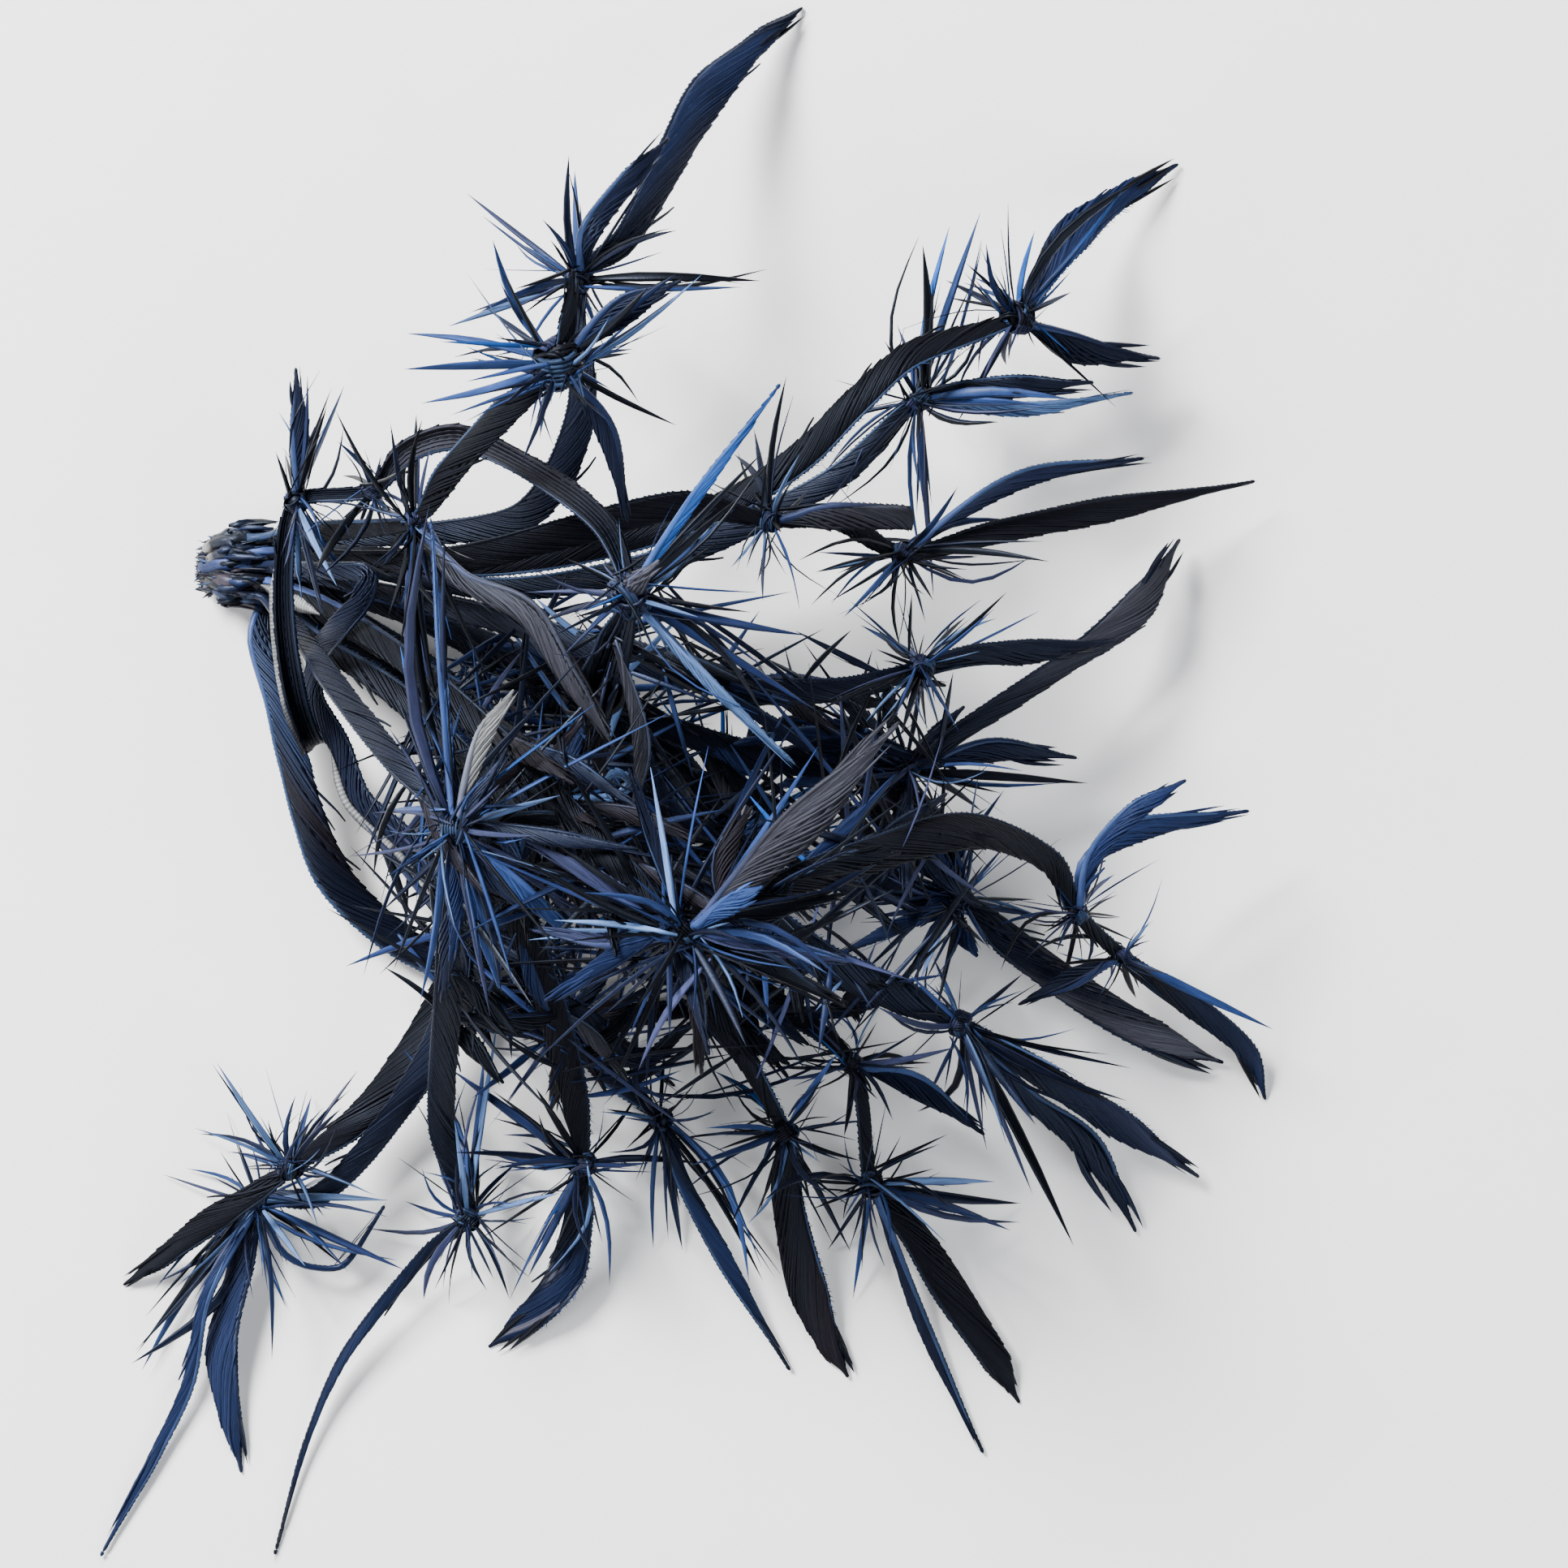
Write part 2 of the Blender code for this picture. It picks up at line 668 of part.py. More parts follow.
def raised_tip(centre, px, py, order):
    """A blade's tip. The shorter it looks from above, the more it stands up or leans down."""
    level = place(px, py, centre.z)
    seen = (level - centre).length
    lean = 0.55 * math.sqrt(max(0.0, BLADE_LONGEST**2 - seen**2)) + 0.08 * seen
    z = centre.z + (lean if order % 2 == 0 else -lean)
    return place(px, py, min(max(z, FLOOR_GAP), centre.z + 0.9 * seen))


def best_face(faces, used, centre, direction):
    """The free face of a knot that looks most nearly along direction, and how well it does."""
    best, best_match = None, -1.0
    for number, face in enumerate(faces):
        if number in used:
            continue
        outward = (face.calc_center_median() - centre).normalized()
        match = outward.dot(direction)
        if match > best_match:
            best, best_match = number, match
    return best, best_match


def even_directions(count, turn):
    """Directions spread evenly over a ball, on a spiral."""
    golden = math.pi * (3 - math.sqrt(5))
    for i in range(count):
        z = 1 - 2 * (i + 0.5) / count
        level = math.sqrt(1 - z * z)
        yield Vector((math.cos(golden * i + turn) * level, math.sin(golden * i + turn) * level, z))


def far_enough(direction, taken, degrees):
    least = math.cos(math.radians(degrees))
    return all(direction.dot(other) < least for other in taken)


def wanted_blades(stop, chance):
    """The blades a knot should have: those seen from above first, then some to fill it all round."""
    centre = stop["at"]
    for order, (px, py) in enumerate(stop["tips"]):
        yield raised_tip(centre, px, py, order), BLADE_WIDTH * 1.1
    for direction in even_directions(26, chance.uniform(0, 6.28)):
        length = chance.uniform(0.4, 0.85) * BLADE_LONGEST
        tip = centre + direction * length
        tip.z = max(tip.z, FLOOR_GAP)
        yield tip, BLADE_WIDTH * chance.uniform(0.7, 1.0)


def plan_knot(owner, stop, lines_through, space, chance):
    """Chooses a knot's leaves and blades, each as long as the room allows."""
    centre, radius = stop["at"], stop["radius"]
    chosen = []
    taken = []
    strip_ways = [line.normalized() for line in lines_through]
    for leaf in stop["leaves"]:
        stations = leaf_stations(centre, radius, leaf)
        chosen.append(stations)
        taken.append((stations[1][0] - centre).normalized())
        space.add(*blade_balls(stations), owner)
    for tip, width in wanted_blades(stop, chance):
        direction = (tip - centre).normalized()
        if len(chosen) >= BLADES_PER_KNOT or not far_enough(direction, taken, SPREAD_DEGREES):
            continue
        if not far_enough(direction, strip_ways, STRIP_SPREAD_DEGREES):
            continue
        for share in (1.0, 0.85, 0.7, 0.55, 0.42):
            end = centre.lerp(tip, share)
            if (end - centre).length < radius + BLADE_SHORTEST:
                break
            stations = blade_stations(centre, end, radius, width)
            points, radii = blade_balls(stations)
            if space.room(points, radii, owner, centre, radius) > GAP:
                chosen.append(stations)
                taken.append(direction)
                space.add(points, radii, owner)
                break
    return chosen


def quill_start(row, column):
    """Where a strip's quill meets the stub: its own cell of the grid on the stub's face."""
    y = (2 - column) * QUILL_PITCH
    z = STUB_TALL / 2 + (row - 1.5) * QUILL_PITCH
    return Vector((STUB_LENGTH / 2 + GAP, y, z))


def build_strips():
    chance = random.Random(SEED)
    space = Space()
    plans = []
    for number, (name, (row, column, colour, stops)) in enumerate(STRIPS.items()):
        start = quill_start(row, column)
        outside = {"at": start + Vector((2.2, 0, 0.1)), "width": QUILL_WIDTH}
        stops = [{"at": start, "width": QUILL_WIDTH}, outside] + stops
        route = Route(stops)
        space.add(*strip_balls(route), (number, -1))
        for index, stop in enumerate(stops):
            if "radius" in stop:
                space.add([stop["at"]], [stop["radius"] * KNOT_LENGTH], (number, index))
        plans.append((name, colour, stops, route))
    for number, (name, colour, stops, route) in enumerate(plans):
        bm = bmesh.new()
        knot_faces = sweep_strip(bm, stops, route)
        for index, faces in knot_faces.items():
            stop = stops[index]
            middle = route.length_to[route.stop_steps[index]]
            reach = stop["radius"] + 3
            ahead = route.points[route.step_at(middle + reach)] - stop["at"]
            behind = route.points[route.step_at(middle - reach)] - stop["at"]
            chosen = plan_knot((number, index), stop, (ahead, behind), space, chance)
            used = set()
            jobs = []
            for stations in chosen:
                direction = (stations[0][0] - stop["at"]).normalized()
                face_number, match = best_face(faces, used, stop["at"], direction)
                if face_number is not None and match > 0.6:
                    used.add(face_number)
                    jobs.append((faces[face_number], stations))
            for face, stations in jobs:
                grow_blade(bm, face, stations)
        add_object(name, bm, finish_material(name, colour, 0.55))


def build_stub():
    """The glued stub: a tapered block, flat below, with the cut quill ends standing out of it."""
    chance = random.Random(SEED)
    bm = bmesh.new()
    columns, rows = 4, 3
    sections = (
        (-STUB_LENGTH / 2, STUB_END_WIDTH, STUB_END_TALL),
        (0.0, STUB_WIDTH * 0.92, STUB_TALL * 0.9),
        (STUB_LENGTH / 2, STUB_WIDTH, STUB_TALL),
    )
    grids = []
    for x, width, tall in sections:
        grid = []
        for i in range(columns + 1):
            y = (i / columns - 0.5) * width
            edge = abs(i / columns - 0.5) * 2
            crown = tall * (1 - 0.16 * edge**3)
            grid.append([bm.verts.new((x, y, crown * j / rows)) for j in range(rows + 1)])
        grids.append(grid)
    ends = []
    for grid in (grids[0], grids[-1]):
        for i in range(columns):
            for j in range(rows):
                corners = (grid[i][j], grid[i + 1][j], grid[i + 1][j + 1], grid[i][j + 1])
                face = bm.faces.new(corners)
                if grid is grids[0]:
                    ends.append(face)
    for one, two in zip(grids, grids[1:]):
        loop_one = outline(one)
        loop_two = outline(two)
        bridge(bm, loop_one, loop_two)
    bmesh.ops.recalc_face_normals(bm, faces=bm.faces)
    for face in bmesh.ops.extrude_discrete_faces(bm, faces=ends)["faces"]:
        middle = face.calc_center_median()
        out = chance.uniform(0.8, 2.2)
        for vert in face.verts:
            vert.co = middle + (vert.co - middle) * 0.72
            vert.co.x -= out
    add_object("glued_stub", bm, finish_material("glued_stub", GLUE, 0.35))


def outline(grid):
    """The points round the edge of a grid of points, in order."""
    last_column, last_row = len(grid) - 1, len(grid[0]) - 1
    loop = [grid[i][0] for i in range(last_column)]
    loop += [grid[last_column][j] for j in range(last_row)]
    loop += [grid[i][last_row] for i in range(last_column, 0, -1)]
    loop += [grid[0][j] for j in range(last_row, 0, -1)]
    return loop


clear_scene()
build_stub()
build_strips()
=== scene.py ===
"""The looks of a feather hat mount: dyed feather strips, knotted and glued into one stub.

Each strip is a split quill with its barbs left on. Here every barb of it is a thin tube of
its own, and so is each pointed blade that a knot throws out. A strip's tubes are gathered in
one mesh, which stands for that strip's solid. Lengths are in millimetres until a mesh is made.
"""

import math

import bpy
import numpy as np
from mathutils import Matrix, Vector


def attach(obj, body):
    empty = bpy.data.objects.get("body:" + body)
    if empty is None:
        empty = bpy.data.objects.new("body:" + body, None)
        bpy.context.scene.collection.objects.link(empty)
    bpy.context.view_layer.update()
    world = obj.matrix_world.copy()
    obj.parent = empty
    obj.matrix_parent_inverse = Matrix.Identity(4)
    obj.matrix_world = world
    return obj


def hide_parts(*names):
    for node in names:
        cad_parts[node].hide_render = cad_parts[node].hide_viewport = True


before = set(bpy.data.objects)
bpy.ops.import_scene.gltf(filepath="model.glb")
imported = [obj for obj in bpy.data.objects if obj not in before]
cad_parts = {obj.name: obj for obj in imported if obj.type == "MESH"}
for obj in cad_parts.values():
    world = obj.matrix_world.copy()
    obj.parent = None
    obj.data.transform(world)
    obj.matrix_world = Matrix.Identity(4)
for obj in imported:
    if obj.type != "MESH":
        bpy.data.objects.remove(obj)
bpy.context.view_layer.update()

MM = 0.001
SEED = 11

# The plan grid that the stops are placed on, and the height that it is seen from.
GRID = 0.125
GRID_CENTRE = (966, 966)
STUB_ON_GRID = (283, 700)
VIEW_HEIGHT = 1000.0
PICTURE_SIDE = 1932

# The stub and the quills that leave it.
STUB_LENGTH = 6.0
STUB_WIDTH = 11.4
STUB_TALL = 10.2
GAP = 0.35
QUILL_PITCH = 2.15
QUILL_WIDTH = 1.5
QUILL_STEP = 2.2
PINCH_WIDTH = 2.0
STUB_ROWS = 4
STUB_COLUMNS = 5
STUB_STATIONS = 9
STUB_CORNERS = 24
CUT_ENDS = 13
SPLINTERS = 150

# The strips' barbs, and the lanes of the thin web under them.
FINE_STEP = 0.8
LEVELLING = 1.2
BARB_PITCH = 0.85
BARB_WIDTH = 0.6
BARB_THICK = 0.09
BARB_ADVANCE = 3.2
LEAF_ADVANCE = 8.0
BARB_STATIONS = 9
SLIP_STATIONS = 6
# Faces brighter than this get every second barb narrower and darker: painted shade in the gaps between barbs.
SHADED_GAPS_ABOVE = 0.02
TIP_SPLITS = 5
WEB_LANES = 6
WEB_STEP = 1.6
CROWN = 0.10
ROLL_DEGREES = 24.0
SLIP_ROLL_DEGREES = 14
LONGEST_SPLIT = 30

# The quill along a strip's edge: its radius at the stub and further on.
RACHIS_ROOT = 0.75
RACHIS_FAR = 0.22
RACHIS_TAPER = 20.0
RACHIS_STEP = 1.6
FUZZ_PITCH = 0.5
PALE_BAR_PITCH = 0.3

# The knots' blades.
BLADE_STATIONS = 7
SHORT_STATIONS = 4
BLADE_LONGEST = 25.0
FLOOR_GAP = 0.5
FILL_BLADES = 3
HAIR_BLADES = 4
BUNCHES = 4
KNOT_TIGHTNESS = 0.72
LUMP_STATIONS = 7
BAND_STATIONS = 14
BAND_LANES = 6

# The dense, dark inside of the spray: its middle and half widths on the plan, and what fills it.
INSIDE_MIDDLE = (815, 1045, 20)
INSIDE_REACH = np.array((47.0, 40.0, 60.0))
TANGLE_BLADES = 22
TANGLE_SLIPS = 7
# Painted light and shade: tangle blades rooted in front of this plan height are painted up to 1.95 times as
# bright, those behind it stay darker.
TANGLE_SHADE_EDGE = -40.0
UNDERGROWTH_STEP = 1.7
SHORTEST_SLIP = 7

# The least height of any point, and what keeps a division by a length from failing.
LOWEST = 0.03
TINY = 1e-9

# The lamps' names, places, powers, sizes and colours, in metres and watts, and what they aim at.
WHITE = (1, 1, 1)
LAMPS = (
    ("key", (-0.75, 0.85, 0.95), 104, 0.5, WHITE),
    ("fill", (1.1, -0.7, 0.9), 22, 1.0, (0.92, 0.95, 1.0)),
    ("low_left", (-1.2, -0.6, 0.7), 22, 0.8, WHITE),
)
LAMP_AIM = (0.085, -0.033, 0.03)
SKY = (0.93, 0.96, 1.0, 1)
SKY_STRENGTH = 0.13
FLOOR_SIZE = 6

# How the noise of streaks and of barbules is stretched: along a barb, across it, and from barb to barb.
STREAK_SCALE = (0.16, 0.9, 1.0)
BARBULE_SCALE = (3.4, 1.2, 1.0)

# Sections of a tube, as (across, up) corners in half widths and thicknesses.
RIDGE = np.array([(-1, -0.5), (1, -0.5), (0, 1)])
FOLD = np.array([(-1, -0.6), (0, 0.35), (1, -0.6), (0, 1)])
TWIN = np.array([(-1, -0.5), (0, -0.2), (1, -0.5), (0.55, 0.9), (0, 0.2), (-0.55, 0.9)])
ROUND = np.array([(math.cos(k * math.tau / 6), math.sin(k * math.tau / 6)) for k in range(6)])


def srgb(red, green, blue):
    """A colour given as it looks on a screen, from 0 to 255, as light."""
    parts = np.array((red, green, blue)) / 255
    return np.where(parts <= 0.04045, parts / 12.92, ((parts + 0.055) / 1.055) ** 2.4)


INK = srgb(6, 7, 11)
NAVY = srgb(10, 14, 29)
DEEP = srgb(18, 27, 54)
BLUE = srgb(33, 50, 90)
# Steel blue and azure are light blade colours that partly stand for the highlights that blades catch: painted
# highlights.
STEEL_AND_HIGHLIGHT = srgb(66, 88, 126)
AZURE_AND_HIGHLIGHT = srgb(20, 58, 116)
BROWN = srgb(17, 13, 16)
VIOLET = srgb(36, 40, 64)
DUSK = srgb(38, 38, 44)
SLATE = srgb(24, 32, 52)
PALE = srgb(94, 95, 96)
QUILL = srgb(58, 74, 124)
PITH = srgb(112, 110, 108)
GLUE = srgb(22, 20, 22)

# How bright a quill is where it leaves the stub or knot, and how far along it stays so.
QUILL_SHOWS = {
    "strip_outer_sweep": (0.6, 22.0),
    "strip_front": (0.9, 26.0),
    "strip_grey_leaf": (0.8, 32.0),
    "strip_long_leaf": (1.0, 6.0),
}
QUILL_HIDES = (0.02, 10.0)
LEAF_QUILL = (0.35, 16.0)
DULL_QUILL = (0.0, 1.0)

# The cut quills whose colour shows on top of the stub, by row and column.
CELL_TINTS = {
    (3, 0): INK, (3, 1): DUSK, (3, 2): QUILL * 0.6, (3, 3): BROWN * 3, (3, 4): INK,
    (1, 4): QUILL * 0.6,
}

# Strips whose quill is downy, and the stops between which a strip shows its pale edge,
# with that edge's width.
DOWNY = ("strip_upper_right", "strip_bottom_leaf", "strip_dark_leaf", "strip_lower_right")
PALE_EDGES = {"strip_arch": (4, 8, 1.5), "strip_bottom_left": (9, 12, 1.5), "strip_front": (1, 2, 2.6)}

# Each finish's own dye, and how much brighter or duller its blades are.
SLOT_DYES = {
    "feather_navy": (INK * 0.5 + NAVY * 0.5, 0.0),
    "feather_black_navy": (INK * 0.8 + BROWN * 0.2, -0.2),
    "feather_bright_navy": (NAVY, 0.15),
}


def place(px, py, z):
    """The point seen at (px, py) of the plan grid from VIEW_HEIGHT above, at height z."""
    side = GRID * (1 - z / VIEW_HEIGHT)
    x = (px - GRID_CENTRE[0]) * side + (GRID_CENTRE[0] - STUB_ON_GRID[0]) * GRID
    y = (GRID_CENTRE[1] - py) * side - (GRID_CENTRE[1] - STUB_ON_GRID[1]) * GRID
    return np.array((x, y, z))


def way(px, py, z, width, face=None):
    """A stop on a strip's route, its width there, and the colour of its face from there on."""
    return {"at": place(px, py, z), "width": width, "face": face}


def knot(px, py, z, radius, tips=(), leaves=(), face=None, leaf_faces=()):
    """A knot on the route: the plan places of its blades' tips, and its leaf-like blades."""
    return {
        "at": place(px, py, z),
        "width": PINCH_WIDTH,
        "radius": radius,
        "tips": tips,
        "leaves": leaves,
        "face": face,
        "leaf_faces": leaf_faces,
    }


# Each strip: the row and column of its quill in the stub, its finish, then its stops.
STRIPS = {}
STRIPS["strip_arch"] = (0, 4, "feather_navy", [
    way(340, 780, 2.2, 2.4, INK),
    way(370, 855, 2.8, 2.8, INK),
    way(391, 915, 8.5, 3.0),
    way(386, 918, 14.0, 3.2),
    way(366, 868, 20.0, 3.4),
    way(351, 779, 25.0, 3.2),
    way(350, 690, 27.0, 2.8),
    knot(365, 618, 29, 2.6,
         [(379, 463), (424, 476), (403, 500), (343, 507), (400, 760), (372, 742), (415, 722),
          (391, 690), (430, 660), (352, 560), (350, 700), (445, 735)],
         [[(370, 530, 32, 2.8), (364, 451, 34, 0)]]),
    knot(459, 604, 33, 2.4,
         [(432, 543), (422, 586), (389, 705), (440, 655), (475, 660), (500, 590), (470, 560),
          (485, 640), (512, 628), (420, 640)]),
    way(500, 557, 36, 3.6, DUSK * 1.5),
    way(565, 538, 40, 4.0, DUSK * 1.5),
    way(672, 588, 47, 3.8, DUSK * 1.4),
    way(749, 653, 54, 3.4),
    knot(775, 735, 58, 4.6,
         [(940, 557), (1005, 875), (994, 783), (665, 768), (655, 700), (913, 611), (946, 890),
          (646, 730), (680, 784), (700, 690), (690, 812), (880, 640), (860, 760), (720, 780)],
         [[(860, 610, 64, 1.7), (965, 468, 66, 0)], [(870, 838, 60, 1.6), (986, 948, 58, 0)],
          [(782, 722, 62, 3.4), (812, 690, 63, 0)]], leaf_faces=(AZURE_AND_HIGHLIGHT * 0.7, STEEL_AND_HIGHLIGHT * 0.9, DUSK * 2)),
    way(757, 800, 53, 6.0),
    way(742, 850, 47, 8.0),
    way(720, 905, 42, 0),
])
STRIPS["strip_front_crest"] = (3, 0, "feather_black_navy", [
    way(400, 655, 23, 3.0),
    knot(510, 642, 39, 2.6,
         [(481, 521), (513, 511), (455, 700), (540, 900), (520, 518), (560, 1000), (478, 760),
          (525, 790), (550, 760), (470, 700), (585, 690), (500, 840), (493, 796), (450, 620),
          (545, 600)],
         [[(565, 712, 44, 2.6), (650, 756, 49, 3.8), (700, 835, 51, 3.0), (760, 925, 50, 0)]],
         leaf_faces=(DUSK,)),
    way(552, 585, 47, 4.2, INK * 0.7),
    way(610, 520, 55, 4.4),
    knot(687, 448, 63, 5.4,
         [(607, 295), (502, 411), (498, 455), (519, 497), (641, 574), (833, 524), (748, 513),
          (560, 440), (620, 500), (665, 540), (833, 337), (829, 367), (800, 352), (600, 380),
          (575, 470), (780, 430), (720, 500)],
         [[(770, 382, 66, 4.2), (840, 345, 68, 0)], [(745, 530, 60, 3.0), (775, 650, 55, 0)]]),
    way(700, 400, 66, 2.6),
    way(706, 330, 69, 0),
])
STRIPS["strip_tall"] = (1, 0, "feather_navy", [
    way(430, 664, 10, 2.6),
    way(560, 655, 16, 3.6),
    way(640, 640, 21, 4.6),
    way(687, 590, 26, 4.8),
    way(718, 497, 31, 4.4),
    knot(712, 344, 30, 3.0,
         [(701, 191), (576, 239), (553, 402), (944, 332), (833, 284), (660, 520), (936, 346),
          (640, 300), (590, 385), (745, 430), (690, 420), (780, 262), (668, 270), (708, 210)],
         [[(728, 285, 34, 3.2), (776, 222, 30, 3.0), (826, 168, 26, 0)]]),
    way(768, 300, 28, 3.8),
    way(822, 205, 20, 5.0, DEEP * 0.7),
    way(871, 118, 12, 6.2, DEEP * 0.8),
    way(935, 52, 5, 3.4),
    way(990, 8, 0, 0),
])
STRIPS["strip_upper_right"] = (2, 1, "feather_black_navy", [
    way(430, 682, 15, 2.6),
    way(600, 695, 23, 3.6),
    way(760, 668, 27, 4.2),
    way(900, 619, 29, 4.4),
    way(989, 561, 29, 4.4),
    way(1056, 494, 29, 4.2),
    way(1123, 436, 27, 4.0),
    knot(1253, 391, 22, 3.8,
         [(1242, 250), (1275, 284), (1190, 324), (1180, 520), (1215, 300), (1320, 360),
          (1300, 310), (1165, 345), (1210, 470), (1240, 450), (1404, 222), (1290, 335)],
         [[(1324, 430, 17, 4.6), (1433, 442, 10, 0)]]),
    way(1282, 345, 17, 4.0, DEEP),
    way(1322, 288, 11, 5.8, DEEP * 1.3),
    way(1385, 240, 5, 3.6, DEEP * 1.5),
    way(1454, 201, 0.5, 0),
])
STRIPS["strip_right_star"] = (1, 1, "feather_navy", [
    way(440, 700, 9, 2.4),
    way(620, 726, 13, 3.4),
    way(780, 702, 16, 3.8),
    way(900, 656, 18, 4.0),
    way(1040, 582, 19, 3.6),
    knot(1132, 494, 19, 2.8,
         [(1137, 302), (1170, 279), (1208, 262), (998, 623), (1016, 623), (1150, 733),
          (1137, 619), (1060, 560), (1210, 300), (1230, 520), (1290, 500), (1180, 420),
          (1090, 420), (1105, 400), (1320, 492)],
         [[(1260, 505, 15, 2.2), (1400, 483, 10, 0)]], leaf_faces=(STEEL_AND_HIGHLIGHT,)),
    way(1240, 478, 21, 3.6),
    way(1351, 471, 22, 0),
])
STRIPS["strip_long_leaf"] = (3, 1, "feather_black_navy", [
    way(430, 690, 22, 2.8),
    way(560, 690, 32, 4.0),
    way(714, 653, 37, 4.6),
    way(844, 622, 37, 4.0),
    knot(949, 641, 35, 2.6,
         [(969, 463), (929, 529), (985, 750), (905, 560), (985, 560), (900, 700), (940, 740),
          (1000, 600), (920, 700), (890, 600)],
         [[(1030, 637, 37, 4.0), (1123, 638, 35, 3.6)]], leaf_faces=(DUSK * 0.7,)),
    way(1030, 640, 32, 3.8),
    knot(1112, 682, 28, 2.6,
         [(985, 690), (1110, 800), (1293, 692), (1270, 686), (1040, 760), (1000, 745),
          (1180, 600), (1240, 640), (1065, 740), (1200, 720), (1150, 740), (1005, 705)],
         [[(1257, 592, 26, 2.8), (1418, 563, 22, 0)]]),
    way(1230, 656, 23, 3.4),
    way(1346, 632, 17, 3.8),
    way(1552, 592, 6, 0),
])
STRIPS["strip_middle_right"] = (2, 2, "feather_navy", [
    way(440, 722, 14.5, 2.6),
    way(600, 760, 25, 3.6),
    way(760, 806, 33, 4.0),
    way(930, 850, 33, 4.0),
    way(1050, 848, 31, 3.6),
    knot(1136, 822, 29, 2.8,
         [(1225, 750), (1280, 753), (1182, 902), (1060, 770), (1110, 905), (1160, 905),
          (1090, 900), (1190, 760), (1240, 730), (1040, 870), (1000, 880), (1142, 900),
          (1080, 800)]),
    way(1200, 808, 26, 3.2),
    way(1265, 804, 22, 3.8),
    way(1385, 788, 15, 0),
])
STRIPS["strip_grey_leaf"] = (1, 2, "feather_navy", [
    way(450, 742, 9, 2.4),
    way(620, 800, 16, 3.4),
    way(780, 880, 21, 3.6),
    way(950, 935, 22, 3.8),
    knot(1118, 950, 20, 2.8,
         [(1010, 890), (1340, 965), (1060, 1040), (1160, 1060), (1030, 960), (1210, 1000),
          (1150, 900), (1090, 880), (1260, 950), (1180, 1020), (1040, 1000), (980, 930)],
         [[(1222, 925, 17, 3.6), (1331, 934, 12, 0)]]),
    way(1180, 905, 19, 2.8),
    way(1300, 826, 14, 3.6, DUSK),
    way(1400, 750, 9, 5.0, DUSK),
    way(1455, 662, 3, 0),
])
STRIPS["strip_front"] = (3, 3, "feather_black_navy", [
    way(400, 748, 19, 2.8),
    way(520, 830, 36, 3.6),
    way(660, 960, 50, 4.2),
    way(770, 1075, 58, 4.0),
    knot(845, 1150, 60, 3.2,
         [(665, 1080), (760, 1210), (700, 1160), (860, 1290), (993, 1320), (1054, 1246),
          (1054, 1185), (640, 1030), (720, 1100), (650, 1145), (780, 1080), (980, 1160),
          (1040, 1210), (870, 1260), (920, 1290), (745, 1250), (1020, 1200)],
         [[(985, 1020, 66, 6.0), (1112, 885, 68, 0)], [(905, 1112, 66, 3.0), (940, 1092, 68, 0)],
          [(930, 1182, 58, 3.6), (1046, 1242, 50, 0)], [(960, 1170, 60, 2.0), (1054, 1186, 58, 0)],
          [(740, 1085, 61, 2.6), (642, 1032, 59, 0)], [(745, 1158, 60, 2.0), (652, 1146, 58, 0)]],
         # The lighter violet leaf faces here, 1.5 and 1.3 times, are partly painted highlights.
         leaf_faces=(DUSK, BLUE, INK * 2, VIOLET * 1.5, VIOLET, VIOLET * 1.3)),
    way(940, 1100, 56, 3.6),
    way(1050, 1062, 49, 5.4),
    way(1194, 1023, 38, 5.6),
    way(1295, 1062, 28, 3.6),
    knot(1328, 1125, 22, 2.4,
         [(1245, 1113), (1216, 1145), (1233, 1196), (1374, 1077), (1302, 1173), (1337, 1194),
          (1285, 1150), (1380, 1130), (1300, 1090)],
         [[(1352, 1050, 29, 2.4), (1400, 1000, 31, 3.0), (1463, 960, 30, 0)],
          [(1340, 1064, 24, 2.2), (1400, 1024, 21, 3.6), (1545, 998, 13, 0)]],
         leaf_faces=(DEEP * 1.1, DEEP)),
    knot(1382, 1178, 16, 2.2,
         [(1417, 1135), (1302, 1173), (1417, 1159), (1568, 1268), (1350, 1240), (1400, 1230),
          (1440, 1200), (1360, 1150)], [[(1320, 1205, 13, 3.0), (1253, 1239, 10, 0)]]),
    way(1430, 1215, 12, 3.0, DEEP * 0.5),
    way(1480, 1248, 8, 3.6, DEEP * 0.5),
    way(1537, 1296, 4, 3.0, DEEP),
    way(1560, 1357, 0, 0),
])
STRIPS["strip_barred"] = (0, 1, "feather_navy", [
    way(470, 742, 4.5, 2.4),
    way(640, 830, 8.5, 3.4),
    way(790, 950, 12, 3.6),
    knot(908, 1032, 14, 2.4,
         [(1010, 960), (830, 1080), (960, 1130), (850, 940), (860, 1000), (930, 960),
          (985, 1040), (890, 1110), (1000, 1000), (840, 1030)]),
    way(1050, 1076, 15, 3.6),
    knot(1184, 1107, 13, 2.8,
         [(1130, 1230), (1240, 1040), (1150, 1160), (1290, 1130), (1120, 1080), (1100, 1130),
          (1200, 1030), (1160, 1200), (1220, 1170), (1250, 1110)]),
    way(1245, 1160, 11, 5.0),
    # The grey face is raised to 2.4 and then 1.6 times here: partly its own grey, partly a painted sheen
    # across the leaf's middle.
    way(1330, 1222, 8, 5.6, DUSK * 2.4),
    way(1420, 1276, 4.5, 5.0, DUSK * 1.6),
    way(1509, 1310, 1.0, 0),
])
